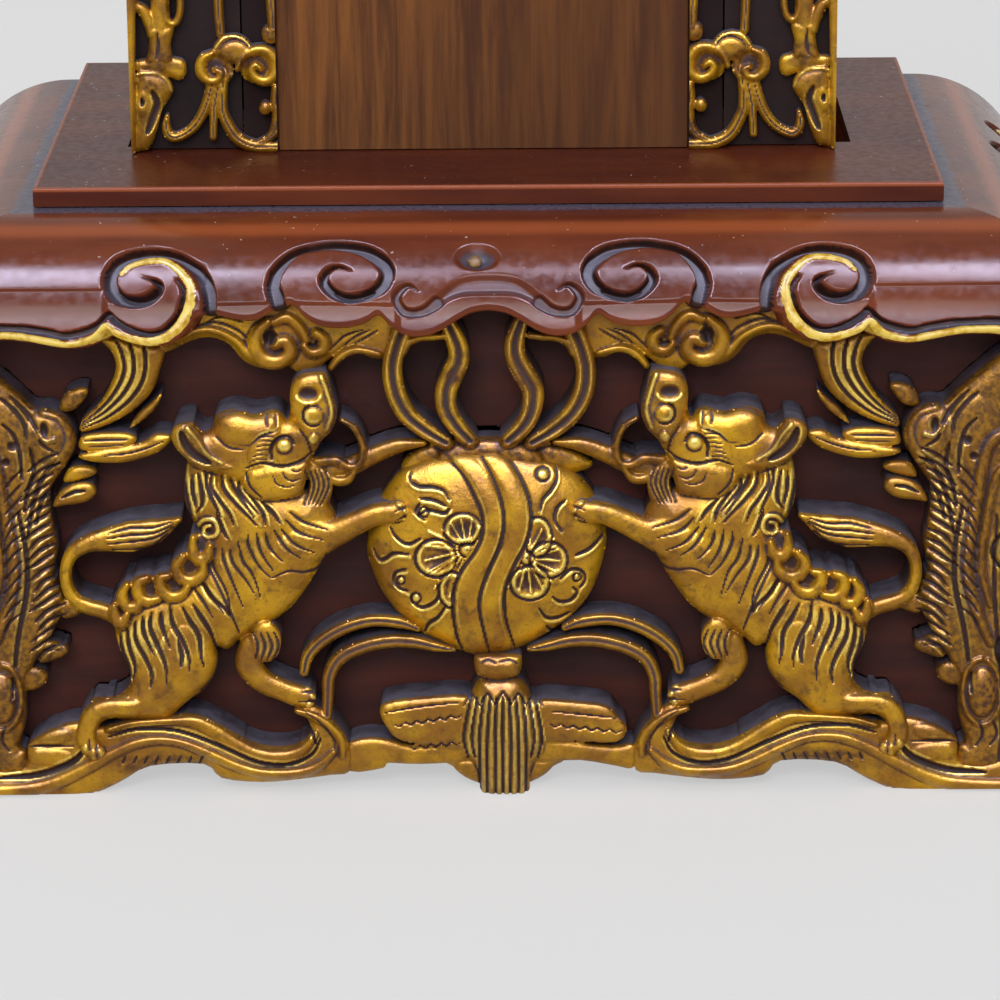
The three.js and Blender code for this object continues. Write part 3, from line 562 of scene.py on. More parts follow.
def paint_relief(mesh, relief, inside, lowest, used, rim):
    """Stores painted shade and dirt in what is cut in, creased and down the walls, a painted highlight with
    wear on what is raised, and how dull each place is, for the gilding and the lacquer.
    """
    reach = max(1, round(CLEAN_REACH / relief.cell))
    raised = ((relief.detail - moving_mean(relief.detail, reach)) / RAISED_FULL).ravel()
    body = np.where(relief.body > -FAR / 2, relief.body, lowest)
    crease_shade = ((moving_mean(body, reach) - body) / CREASE_SHADE_FULL).ravel()
    crease_shade = crease_shade * np.clip((inside.ravel() - CREASE_SHADE_START) / CREASE_SHADE_FADE, 0, 1)
    shade_and_dirt = np.clip(np.maximum(np.maximum(-raised, crease_shade), relief.paint.ravel()), 0, 1)
    # A painted highlight, with wear, on what is raised
    highlight_and_wear = np.clip(HIGHLIGHT_AND_WEAR_GAIN * raised - HIGHLIGHT_AND_WEAR_LOSS, 0, 1)
    dull = relief.dull.ravel()
    # The fringe part way down the walls and the back get painted shade
    set_values(mesh, "shade_and_dirt", np.concatenate([shade_and_dirt[used], np.full(len(rim), FRINGE_SHADE), np.ones(len(used))]))
    set_values(mesh, "highlight_and_wear", np.concatenate([highlight_and_wear[used], np.zeros(len(rim) + len(used))]))
    set_values(mesh, "dull", np.concatenate([dull[used], dull[rim], dull[used]]))


def shade_smooth(mesh, rim_edges, to_back):
    """Shades a carving smooth, apart from the front and back edges of its walls."""
    mesh.polygons.foreach_set("use_smooth", np.ones(len(mesh.polygons), bool))
    pairs = np.zeros(len(mesh.edges) * 2, np.int64)
    mesh.edges.foreach_get("vertices", pairs)
    pairs = np.sort(pairs.reshape(-1, 2), 1)
    wanted = np.sort(np.concatenate([rim_edges, rim_edges + to_back]), 1)
    count = len(mesh.vertices)
    sharp = np.isin(pairs[:, 0] * count + pairs[:, 1], wanted[:, 0] * count + wanted[:, 1])
    mesh.attributes.new("sharp_edge", "BOOLEAN", "EDGE").data.foreach_set("value", sharp)
    mesh.update()


def relief_mesh(name, relief, draw, back, place, limit):
    """The mesh of a relief: its carved face, walls straight back, and a flat back."""
    keep, inside = fit_outline(relief, draw, limit)
    height = relief.height()
    lowest = height[keep & (relief.body > -FAR / 2)].min()
    height = np.maximum(height, lowest)
    quads, triangles = grid_faces(keep)
    starts, ends = open_edges(quads, triangles, keep.size)
    used = np.unique(np.concatenate([quads.ravel(), triangles.ravel()]))
    rim = np.unique(starts)

    reach = height.ravel()
    x, z = seen_places(relief, height)
    level_x, level_z = seen_places(relief, np.full(height.shape, reach[rim].mean()))
    level_x[rim], level_z[rim] = x[rim], z[rim]
    fringe = np.maximum(reach[rim] - FRINGE, back(x[rim]) + relief.cell)
    across = np.concatenate([x[used], x[rim], level_x[used]])
    up = np.clip(np.concatenate([z[used], z[rim], level_z[used]]), FLOOR_GAP, relief.ceiling)
    out = np.concatenate([reach[used], fringe, back(level_x[used])])
    spots = place(across, out, up) * MM

    # Front, fringe and back follow each other in the list of places
    to_fringe = len(used)
    to_back = len(used) + len(rim)
    renumber = new_numbers(used, keep.size)
    rim_number = new_numbers(rim, keep.size) + to_fringe
    a, b = rim_number[starts], rim_number[ends]
    top_a, top_b = renumber[starts], renumber[ends]
    upper = np.stack([top_b, top_a, a, b], 1)
    lower = np.stack([b, a, top_a + to_back, top_b + to_back], 1)
    faces = []
    for front in (renumber[quads], renumber[triangles]):
        faces += front.tolist() + (front[:, ::-1] + to_back).tolist()
    mesh = bpy.data.meshes.new(name)
    mesh.from_pydata(spots.tolist(), [], faces + upper.tolist() + lower.tolist())
    paint_relief(mesh, relief, inside, lowest, used, rim)
    shade_smooth(mesh, np.stack([top_a, top_b], 1), to_back)
    return mesh


def flat_back(reach):
    """A plain back at one depth."""
    return lambda across: np.full(len(across), reach)


def mirrored_mesh(mesh, name):
    """The same mesh on the other side of the middle plane."""
    other = mesh.copy()
    other.name = name
    other.transform(Matrix.Scale(-1, 4, Vector((1, 0, 0))))
    other.flip_normals()
    return other


def front_place(across, reach, up):
    return np.stack((across, TIER_FRONT - reach, up), 1)


def end_at(relief, *depths):
    """Ends a relief where any of these depths runs out."""
    for depth in depths:
        relief.inside = np.minimum(relief.inside, depth)


def tuck_under_lip(relief, lip):
    """Keeps what rises past the lip's edge behind the lip."""
    behind = np.minimum(relief.body, LIP_INNER - SEAM - relief.detail)
    relief.body = np.where(relief.z > moulding_profile(lip)[1] - SEAM, behind, relief.body)


def outer_height(relief):
    """Height of a carving of the base, and of its back where nothing is carved."""
    return np.where(relief.body > -FAR / 2, relief.height(), CARVING_BACK)


def front_limit(relief):
    """Ends a front carving at the mitres, the floor, and the lip above it."""
    mitre = TIER_HALF + outer_height(relief) - SEAM - np.abs(relief.x)
    end_at(relief, mitre, relief.z - FLOOR_GAP, BOARDS_TOP - relief.z)
    tuck_under_lip(relief, lip_end(relief.x))

# Materials

# Sockets of the mix node: factor, first, second and result, for colours and for numbers
COLOUR_MIX = (0, 6, 7, 2)
NUMBER_MIX = (0, 2, 3, 0)


class Nodes:
    """Short words for the nodes of a material or a world."""

    def __init__(self, tree):
        self.tree = tree

    def link(self, value, socket):
        if isinstance(value, bpy.types.NodeSocket):
            self.tree.links.new(value, socket)
        else:
            socket.default_value = value

    def node(self, kind, inputs=None):
        node = self.tree.nodes.new("ShaderNode" + kind)
        for name, value in (inputs or {}).items():
            self.link(value, node.inputs[name])
        return node

    def math(self, operation, a, b, clamp=False):
        node = self.node("Math", {0: a, 1: b})
        node.operation = operation
        node.use_clamp = clamp
        return node.outputs[0]

    def mix(self, factor, a, b, data_type="RGBA", sockets=COLOUR_MIX):
        node = self.node("Mix")
        node.data_type = data_type
        for socket, value in zip(sockets, (factor, a, b)):
            self.link(value, node.inputs[socket])
        return node.outputs[sockets[-1]]

    def seen_ray(self):
        """1 for what the camera sees, straight, in a gloss or through glass; 0 for light on the object."""
        path = self.node("LightPath")
        seen = path.outputs["Is Camera Ray"]
        for name in ("Is Glossy Ray", "Is Transmission Ray"):
            seen = self.math("MAXIMUM", seen, path.outputs[name])
        return seen


class Paint(Nodes):
    """The nodes of one material, whose looks set in over the shares in its table."""

    def __init__(self, name, looks):
        self.material = bpy.data.materials.new(name)
        self.material.use_nodes = True
        super().__init__(self.material.node_tree)
        self.shader = self.tree.nodes["Principled BSDF"]
        self.place = self.node("TexCoord").outputs["Object"]
        self.looks = looks

    def stretched(self, scale):
        return self.node("Mapping", {"Vector": self.place, "Scale": scale}).outputs["Vector"]

    def noise(self, scale, detail, roughness=0.55, distortion=0.0, vector=None):
        inputs = {
            "Vector": vector or self.place, "Scale": scale, "Detail": detail, "Roughness": roughness,
            "Distortion": distortion,
        }
        return self.node("TexNoise", inputs).outputs["Fac"]

    def value(self, name):
        """What relief_mesh or moulding_sheet stored for each place."""
        node = self.node("Attribute")
        node.attribute_name = name
        return node.outputs["Fac"]

    def times(self, a, b):
        return self.math("MULTIPLY", a, b)

    def plus(self, a, b, share, clamp=False):
        return self.math("ADD", a, self.times(b, share), clamp)

    def strewn(self, a, noise, share):
        """a with noise around it."""
        return self.plus(a, self.math("SUBTRACT", noise, 0.5), share)

    def range(self, value, low, high, to_low=0.0, to_high=1.0):
        inputs = {"Value": value, "From Min": low, "From Max": high, "To Min": to_low, "To Max": to_high}
        node = self.node("MapRange", inputs)
        node.interpolation_type = "SMOOTHSTEP"
        return node.outputs["Result"]

    def look(self, value, word):
        return self.range(value, *self.looks[word])

    def up(self):
        """How far the surface faces up, from -1 to 1."""
        normal = self.node("NewGeometry").outputs["Normal"]
        return self.node("SeparateXYZ", {0: normal}).outputs["Z"]

    def bump(self, height, distance, strength):
        node = self.node("Bump", {"Distance": distance, "Strength": strength, "Height": height})
        self.link(node.outputs["Normal"], self.shader.inputs["Normal"])

    def shade_covered(self, surface, edge):
        """Darkens with painted shade what lies farther than edge from the panel's middle, where another part
        covers it.
        """
        if not edge:
            return surface
        across = self.node("SeparateXYZ", {0: self.place}).outputs["X"]
        away = self.math("ABSOLUTE", self.math("SUBTRACT", across, CASE_SHIFT * MM), 0.0)
        return self.mix(self.range(away, edge * MM, (edge + SEAM) * MM), surface, COVERED_SHADE)

    def finish(self, surface, roughness, shine, metallic=0.0):
        self.shader.inputs["Specular IOR Level"].default_value = shine
        for name, value in (("Base Color", surface), ("Roughness", roughness), ("Metallic", metallic)):
            self.link(value, self.shader.inputs[name])
        return self.material


def colour(red, green, blue):
    """A linear colour from 8-bit screen values, by the sRGB curve."""
    def linear(value):
        share = value / 255
        return share / 12.92 if share <= 0.04045 else ((share + 0.055) / 1.055) ** 2.4
    return (linear(red), linear(green), linear(blue), 1.0)


GOLD = colour(204, 154, 18)
GOLD_PALE = colour(246, 214, 100)
GOLD_WORN = colour(150, 102, 18)
BROWN = colour(68, 38, 27)
NEAR_BLACK = colour(26, 15, 13)
# Near black for painted shade where another part covers the panel
COVERED_SHADE = colour(34, 19, 17)
# Orange lacquer for wear, which also stands in for a highlight
LIT_AND_RUBBED_LACQUER = colour(176, 92, 52)
DUST = colour(92, 90, 110)
SPECK = colour(196, 184, 172)

# Noises are scale and detail, and then roughness and distortion; shares are where a look sets in and where
# it is full, and then how strong it is at both; bumps are in metres, and then their strength
GILDING_NOISES = ((90, 3), (700, 5), (1900, 2), (260, 4))
GILDING_SHARES = {
    "gold": (0.35, 0.7),
    "pale": (0.45, 1.1),
    "rubbed": (0.76, 0.98, 0.0, 0.55),
    "specks": (0.55, 0.72, 0.0, 0.4),
    "dull": (0.2, 0.6, 0.6, 1.0),
    "dull tone": (0.35, 0.65),
    "shaded_and_dirty": (0.15, 0.75),
    "darkest_shade_and_dirt": (0.7, 1.0, 0.0, 0.6),
    "facing up": (0.55, 0.95),
    "in a hollow": (0.3, 0.8, 0.15, 0.85),
    "dusty": (0.3, 0.6, 0.6, 1.0),
    "dust tone": (0.35, 0.65, 0.0, 0.6),
}
GILDING_FINE_SHARE = 0.5
GILDING_BUMP = (0.00022, 0.6)
GILDING_BUMP_SPECKS = 0.4
GILDING_ROUGH = 0.37
GILDING_DIRT_ROUGH = 0.4
GILDING_METAL = 0.4
GILDING_SHINE = 0.35

LACQUER_STRETCH = (0.35, 1.0, 2.6)
LACQUER_STREAKS = (60, 5, 0.6)
LACQUER_NOISES = ((22, 3), (520, 4), (150, 5), (800, 1))
LACQUER_SHARES = {
    "streaks": (0.3, 0.7),
    "blotches": (0.45, 0.75, 0.0, 0.5),
    "rubbed": (0.15, 0.8, 0.0, 0.75),
    "shaded_and_grimy": (0.25, 0.9, 0.0, 0.92),
    "facing up": (0.2, 0.9),
    "in a hollow": (0.25, 0.6),
    "seam": (0.55, 1.2),
    "specks": (0.76, 0.8),
    "specks facing up": (0.5, 0.9),
    "leaf": (0.45, 0.8),
    "leaf tone": (0.3, 0.6),
    "rough": (0.3, 0.8),
}
LACQUER_SHADED_AND_GRIMY_SHARE = 0.6
LACQUER_SEAM_NOISE = 0.9
LACQUER_HOLLOW_DUST = 0.75
LACQUER_SEAM_DUST = 0.9
LACQUER_LEAF_NOISE = 0.4
LACQUER_FINE_ROUGH = 0.12
LACQUER_DEEP_ROUGH = 0.3
LACQUER_BUMP = (0.0002, 0.22)
LACQUER_BUMP_FINE = 0.1

WOOD_ALONG = 0.06
WOOD_GRAIN = (240, 6, 0.65, 0.4)
WOOD_BROAD = (28, 3, 0.5)
WOOD_FINE = (900, 3)
WOOD_SHARES = {"grain": (0.32, 0.68), "broad": (0.4, 0.75, 0.0, 0.7)}
WOOD_FINE_ROUGH = 0.15
WOOD_BUMP = (0.0002, 0.4)
WOOD_BUMP_FINE = 0.2


def gilding_material(name):
    """Gold leaf over dark lacquer: brown to near black in what is cut in, as painted shade with dirt; pale on
    what stands out, as a painted highlight with wear; dusty above.
    """
    paint = Paint(name, GILDING_SHARES)
    look, mix, times = paint.look, paint.mix, paint.times
    shade_and_dirt, highlight_and_wear, dull = (paint.value(word) for word in ("shade_and_dirt", "highlight_and_wear", "dull"))
    broad, fine, specks, patch = (paint.noise(*row) for row in GILDING_NOISES)
    gold = mix(look(broad, "gold"), GOLD_WORN, GOLD)
    # Pale gold on what is raised is a painted highlight, with wear
    gold = mix(look(paint.plus(highlight_and_wear, fine, GILDING_FINE_SHARE), "pale"), gold, GOLD_PALE)
    gold = mix(look(paint.plus(patch, fine, GILDING_FINE_SHARE), "rubbed"), gold, BROWN)
    gold = mix(look(specks, "specks"), gold, BROWN)
    gold = mix(times(dull, look(broad, "dull")), gold, mix(look(fine, "dull tone"), BROWN, GOLD_WORN))
    # Brown to near black where it is cut in is painted shade, with dirt
    shaded_and_dirty = look(paint.strewn(shade_and_dirt, fine, GILDING_FINE_SHARE), "shaded_and_dirty")
    surface = mix(shaded_and_dirty, gold, mix(look(shade_and_dirt, "darkest_shade_and_dirt"), BROWN, NEAR_BLACK))
    settled = times(look(paint.up(), "facing up"), look(shade_and_dirt, "in a hollow"))
    settled = times(settled, look(broad, "dusty"))
    surface = mix(settled, surface, mix(look(patch, "dust tone"), DUST, NEAR_BLACK))
    clean = paint.math("SUBTRACT", 1.0, paint.math("MAXIMUM", shaded_and_dirty, settled), clamp=True)
    rough = paint.plus(GILDING_ROUGH, paint.math("SUBTRACT", 1.0, clean), GILDING_DIRT_ROUGH)
    paint.bump(paint.plus(fine, specks, GILDING_BUMP_SPECKS), *GILDING_BUMP)
    return paint.finish(surface, rough, GILDING_SHINE, times(clean, GILDING_METAL))


def lacquer_material(name, base, glow, dark, rough, shine):
    """Old lacquer: streaked, dusty where it lies flat or is cut in, with painted shade and dirt where it is
    cut in or under the lip, rubbed to orange on its edges, and orange on the moulding's band as a painted
    highlight with wear.
    """
    paint = Paint(name, LACQUER_SHARES)
    look, mix, times = paint.look, paint.mix, paint.times
    shade_and_dirt, highlight_and_wear, dust, gold = (paint.value(word) for word in ("shade_and_dirt", "highlight_and_wear", "dust", "gold"))
    streaks = paint.noise(*LACQUER_STREAKS, vector=paint.stretched(LACQUER_STRETCH))
    blotches, fine, patchy, specks = (paint.noise(*row) for row in LACQUER_NOISES)
    up = paint.up()
    surface = mix(look(streaks, "streaks"), colour(*base), colour(*glow))
    surface = mix(look(blotches, "blotches"), surface, colour(*dark))
    # The orange is wear, and on the moulding's band and the arrises also a painted highlight
    surface = mix(look(highlight_and_wear, "rubbed"), surface, LIT_AND_RUBBED_LACQUER)
    # Near black where it is cut in is painted shade, with dirt
    surface = mix(look(paint.strewn(shade_and_dirt, fine, LACQUER_SHADED_AND_GRIMY_SHARE), "shaded_and_grimy"), surface, NEAR_BLACK)
    lying = times(look(up, "facing up"), look(shade_and_dirt, "in a hollow"))
    seam = look(paint.plus(dust, patchy, LACQUER_SEAM_NOISE), "seam")
    dusty = paint.math("MAXIMUM", times(lying, LACQUER_HOLLOW_DUST), times(seam, LACQUER_SEAM_DUST))
    surface = mix(dusty, surface, DUST)
    surface = mix(times(look(specks, "specks"), look(up, "specks facing up")), surface, SPECK)
    leaf = look(paint.plus(gold, fine, LACQUER_LEAF_NOISE), "leaf")
    surface = mix(leaf, surface, mix(look(fine, "leaf tone"), GOLD, GOLD_PALE))
    roughness = paint.plus(rough, look(fine, "rough"), LACQUER_FINE_ROUGH)
    roughness = paint.plus(roughness, shade_and_dirt, LACQUER_DEEP_ROUGH, clamp=True)
    paint.bump(paint.plus(streaks, fine, LACQUER_BUMP_FINE), *LACQUER_BUMP)
    return paint.finish(surface, roughness, shine)


def wood_material(name, light, dark, along, rough, shine, edge=0.0):
    """Streaky wood with its grain along one axis, and, when edge is given, painted shade past it from its
    middle, where another part covers it.
    """
    paint = Paint(name, WOOD_SHARES)
    scale = [WOOD_ALONG if axis == along else 1.0 for axis in range(3)]
    grain = paint.noise(*WOOD_GRAIN, vector=paint.stretched(scale))
    broad = paint.noise(*WOOD_BROAD, vector=paint.stretched(scale))
    fine = paint.noise(*WOOD_FINE)
    surface = paint.mix(paint.look(grain, "grain"), colour(*dark), colour(*light))
    surface = paint.mix(paint.look(broad, "broad"), surface, colour(*dark))
    paint.bump(paint.plus(grain, fine, WOOD_BUMP_FINE), *WOOD_BUMP)
    return paint.finish(paint.shade_covered(surface, edge), paint.plus(rough, fine, WOOD_FINE_ROUGH), shine)


# Base, streak and blotch colours, roughness and shine
LACQUERS = (
    ("lacquer", (100, 44, 26), (128, 62, 32), (70, 30, 18), 0.14, 0.17),
    # The tier plate's lacquer is darker than the moulding's for its upward face: painted shade
    ("shaded_tier_lacquer", (84, 34, 20), (106, 49, 25), (58, 25, 16), 0.3, 0.13),
    ("ground_lacquer", (54, 24, 17), (78, 34, 22), (24, 12, 10), 0.5, 0.2),
    # Near-black lacquer: painted shade for the strips in the recess round the panel
    ("shaded_recess_lacquer", (32, 18, 16), (42, 22, 19), (20, 12, 11), 0.5, 0.15),
)

# Light and dark colours, axis of the grain, roughness and shine, and how far from its middle it is hidden
# under another part and gets painted shade
WOODS = (
    ("face_wood", (136, 84, 36), (80, 46, 22), 2, 0.65, 0.1, CASE_SHIFT - STRIP_HIGH[0]),
    ("plain_wood", (150, 104, 66), (98, 62, 36), 2, 0.7, 0.25),
    ("nail_brass", (196, 156, 92), (120, 84, 40), 0, 0.45, 0.25),
)
GILDING = gilding_material("gilding")
LACQUER, SHADED_TIER_LACQUER, GROUND, SHADED_RECESS = (lacquer_material(*row) for row in LACQUERS)
FACE_WOOD, PLAIN_WOOD, BRASS = (wood_material(*row) for row in WOODS)


# Front carving: places in px of the photograph, and tops in mm above its highest plane

CELL = 0.32
MIDDLE_DROP, BAND_DROP, SCROLL_DROP, RIBBON_DROP = 2.5, 4.0, 4.2, 2.0
HIGH = CARVING_REACH
MIDDLE = HIGH - MIDDLE_DROP
BAND = HIGH - BAND_DROP
SCROLL = HIGH - SCROLL_DROP
RIBBON = MIDDLE - RIBBON_DROP

# How dull the gold is all over
SCROLL_DULL, CLOUD_DULL, FOLIAGE_DULL, RIBBON_DULL, TASSEL_DULL = 0.2, 0.12, 0.85, 0.15, 0.3

LION_BODY_PX = [
    (196, 440), (188, 458), (184, 490), (190, 515), (202, 534), (200, 552), (186, 574), (162, 588),
    (137, 597),
    (119, 611), (115, 628), (121, 652), (129, 667), (130, 682), (124, 692), (110, 698), (95, 698), (89, 707),
    (86, 719), (76, 731), (78, 744), (83, 754), (91, 760), (103, 759), (106, 751), (101, 742), (95, 737),
    (97, 730), (103, 722), (114, 718), (136, 722), (152, 722), (167, 721), (178, 710), (190, 699), (203, 690),
    (214, 676), (219, 659), (217, 646), (228, 649), (244, 636), (274, 620), (292, 606), (304, 591),
    (316, 572),
    (329, 550), (338, 535), (336, 515), (322, 495), (300, 490), (250, 485), (215, 465),
]
LION_HEAD_PX = [
    (174, 430), (182, 424), (192, 423), (203, 432), (212, 428), (215, 417), (226, 411), (239, 410),
    (254, 415),
    (272, 410), (281, 413), (288, 420), (291, 405), (290, 391), (297, 377), (312, 373), (326, 374),
    (331, 391),
    (337, 414), (331, 431), (322, 440), (315, 452), (310, 462), (306, 480), (300, 494), (284, 499),
    (265, 500),
    (250, 492), (240, 482), (222, 478), (200, 470), (184, 456),
]
LION_SNOUT_PX = [
    (290, 391), (297, 378), (312, 373), (326, 374), (331, 391), (337, 414), (331, 431), (323, 438),
    (316, 448),
    (306, 446), (299, 430), (292, 415),
]
LION_JAW_PX = [
    (247, 470), (256, 466), (272, 463), (290, 464), (307, 461), (307, 472), (304, 484), (300, 494),
    (284, 499),
    (265, 501), (251, 494), (243, 482),
]
LION_TAIL_PX = [
    (122, 620), (103, 611), (88, 607), (75, 600), (67, 586), (66, 568), (73, 553), (88, 544), (106, 540),
    (130, 537), (155, 531), (179, 520),
]
LION_TAIL_HALF = (8, 8, 8, 7, 6, 6, 7, 9, 12, 16, 13, 3)
MANE_PX = (
    ((184, 462), (184, 482), (189, 507), (192, 519)), ((192, 475), (193, 494), (197, 509)),
    ((198, 473), (202, 490), (202, 504), (196, 513)), ((206, 473), (207, 487), (214, 503), (221, 517)),
    ((211, 475), (211, 487), (219, 500), (229, 513), (234, 526)),
    ((221, 475), (224, 489), (235, 503), (249, 517), (257, 526)),
    ((230, 478), (234, 487), (242, 500), (254, 518)),
    ((239, 482), (239, 490), (247, 501), (259, 514)), ((216, 512), (222, 528), (228, 540)),
    ((250, 496), (262, 512), (266, 526)), ((262, 502), (274, 514), (280, 524)),
)
FLANK_PX = (
    ((211, 550), (213, 566), (227, 593), (230, 615)), ((222, 548), (224, 561), (233, 583), (243, 607)),
    ((230, 548), (233, 563), (246, 580), (256, 596)), ((238, 542), (243, 561), (253, 575), (261, 599)),
    ((248, 535), (249, 547), (259, 566), (272, 579)), ((256, 532), (261, 552), (273, 571)),
    ((265, 532), (270, 548), (284, 563)), ((274, 530), (286, 548), (300, 558)),
    ((281, 529), (296, 545), (316, 553)), ((286, 520), (300, 533), (324, 540)),
    ((290, 512), (304, 522), (328, 530)), ((202, 579), (211, 595), (224, 614)),
    ((194, 588), (205, 604), (213, 618)),
)
THIGH_PX = (
    ((120, 633), (123, 652), (130, 670), (129, 687)), ((127, 626), (129, 646), (135, 666), (133, 681)),
    ((135, 621), (136, 640), (146, 659), (152, 675), (150, 690)), ((143, 617), (144, 633), (154, 655)),
    ((152, 612), (150, 627), (158, 646), (166, 667), (166, 687)), ((161, 612), (162, 626), (171, 650)),
    ((170, 606), (173, 624), (182, 640), (189, 658), (189, 672)),
    ((182, 606), (190, 621), (199, 636), (201, 655), (204, 667)),
    ((193, 604), (202, 618), (211, 633), (216, 648)),
    ((178, 640), (182, 655), (181, 668)), ((202, 583), (213, 598), (225, 609), (231, 618)),
)
BACK_CURLS_PX = (
    ((114, 606), (116, 618), (121, 623), (127, 614)),
    ((127, 585), (122, 596), (127, 607), (136, 607), (140, 601)),
    ((147, 578), (138, 583), (138, 594), (146, 601), (158, 599)),
    ((168, 576), (160, 579), (162, 590), (172, 597), (182, 594), (188, 586)),
    ((184, 556), (176, 566), (180, 577), (191, 581), (202, 574), (204, 563)),
    ((193, 538), (193, 553), (200, 560), (207, 556), (210, 546)),
)
BACK_CURL_HOLLOWS_PX = ((121, 611), (131, 594), (152, 588), (174, 582), (190, 566), (200, 545))
HIND_TOE_STROKES = (("dome", (0, 0), (7, 5), 1.0), ("groove", ((-14, -4), (2, -5), (7, -3)), 1.2, 0.5))
FORE_TOE_STROKES = (("dome", (0, 0), (8, 5), 1.2), ("groove", ((-16, 1), (-4, -5), (6, -5)), 1.1, 0.5))
FOOT_TOE_STROKES = (("dome", (0, 0), (5, 7), 0.8), ("groove", ((4, -12), (4, 2)), 1.1, 0.5))
HOLLOW_STROKES = (
    ("form", ("arc", (0, 0), (12, 12), 0, 330, 10), -1.2, 3, 2),
    ("dome", (0, 0), (11, 11), -0.8, 1.0),
)
MANE_STROKES = (("ridge", ("lines", MANE_PX), 1.8, 0.35),)
LION_STROKES = (
    ("band", ((252, 646), (249, 664), (262, 681), (284, 691), (304, 698)), (13, 14, 12, 11, 12), -2.9, 2.5),
    # The dimmed patch where the hind leg goes behind the body is painted shade
    ("tarnish", (250, 654), (26, 26), 0.5),
    ("form", ("arc", (266, 642), (15, 20), 0, 330, 10), -1.9, 2, 1.2),
    ("groove", ("fan", ((253, 632), (258, 646), (255, 660)), ((274, 632), (279, 646), (273, 660)), 4), 1.8,
        0.7),
    ("each", ((311, 687), (316, 696), (312, 706)), HIND_TOE_STROKES),
    ("band", ((314, 470), (345, 468), (372, 456), (398, 446), (424, 443)), (12, 10, 9, 7.5, 3), -4.6, 2),
    ("tarnish", (372, 456), (70, 34), 0.55),
    ("band", LION_TAIL_PX, LION_TAIL_HALF, -2.0, 2.2),
    ("groove", ((108, 534), (130, 528), (151, 528), (172, 522)), 1.8, 0.7),
    ("groove", ((106, 539), (131, 535), (154, 533), (174, 524)), 1.8, 0.7),
    ("groove", ((108, 544), (138, 541), (157, 537), (174, 526)), 1.8, 0.7),
    ("groove", ((112, 549), (138, 549), (154, 545), (168, 533)), 1.8, 0.7),
    ("form", LION_BODY_PX, -0.6, 9, 5.5, 1.5, 3),
    ("band", ((312, 540), (334, 534), (355, 524), (376, 515), (396, 513)), (22, 14, 12, 11, 12), -0.4, 3, 0,
        2.0),
    ("band", ((132, 708), (110, 708), (94, 714), (87, 728), (87, 742), (96, 752)), (10, 10, 10, 10, 10.5,
        9), -1.0, 2.4, 0, 1.5),
    ("dome", (186, 670), (34, 48), 0.9),
    ("dome", (300, 560), (30, 30), 0.8),
    ("groove", ((272, 578), (289, 571), (304, 572), (318, 567), (327, 552)), 2.2, 0.5),
    ("groove", ((214, 640), (219, 655), (214, 676), (200, 691)), 2.2, 0.5),
    ("groove", ((205, 560), (220, 590), (232, 616), (240, 634)), 2.4, 0.5),
    ("groove", ("lines", FLANK_PX), (1.8, 2.6, 2.2, 1.6, 1.2), 0.8, 0.85),
    ("groove", ("lines", THIGH_PX), (2.2, 3.4, 3.2, 2.2, 1.4), 1.1, 0.8),
    ("each", BACK_CURL_HOLLOWS_PX, HOLLOW_STROKES),
    ("band", ("lines", BACK_CURLS_PX), (3.5, 6, 6.5, 6, 3.5), 0.6, 2.0),
    ("each", ((403, 503), (411, 511), (410, 521), (401, 528)), FORE_TOE_STROKES),
    ("each", ((85, 751), (93, 756), (101, 753)), FOOT_TOE_STROKES),
    ("form", LION_HEAD_PX, -0.2, 5, 4, 0, 3),
    ("groove", ("lines", MANE_PX), (2, 2.8, 2.4, 1.6), 0.9, 0.9),
    ("each", ((4, 0),), MANE_STROKES),
    ("ridge", ("curl", (209, 530), 12, 200, 1.2, 0.3), 2.6, 0.9, 1.0),
    ("dome", (209, 530), (4, 4), -0.8, 1.0),
)
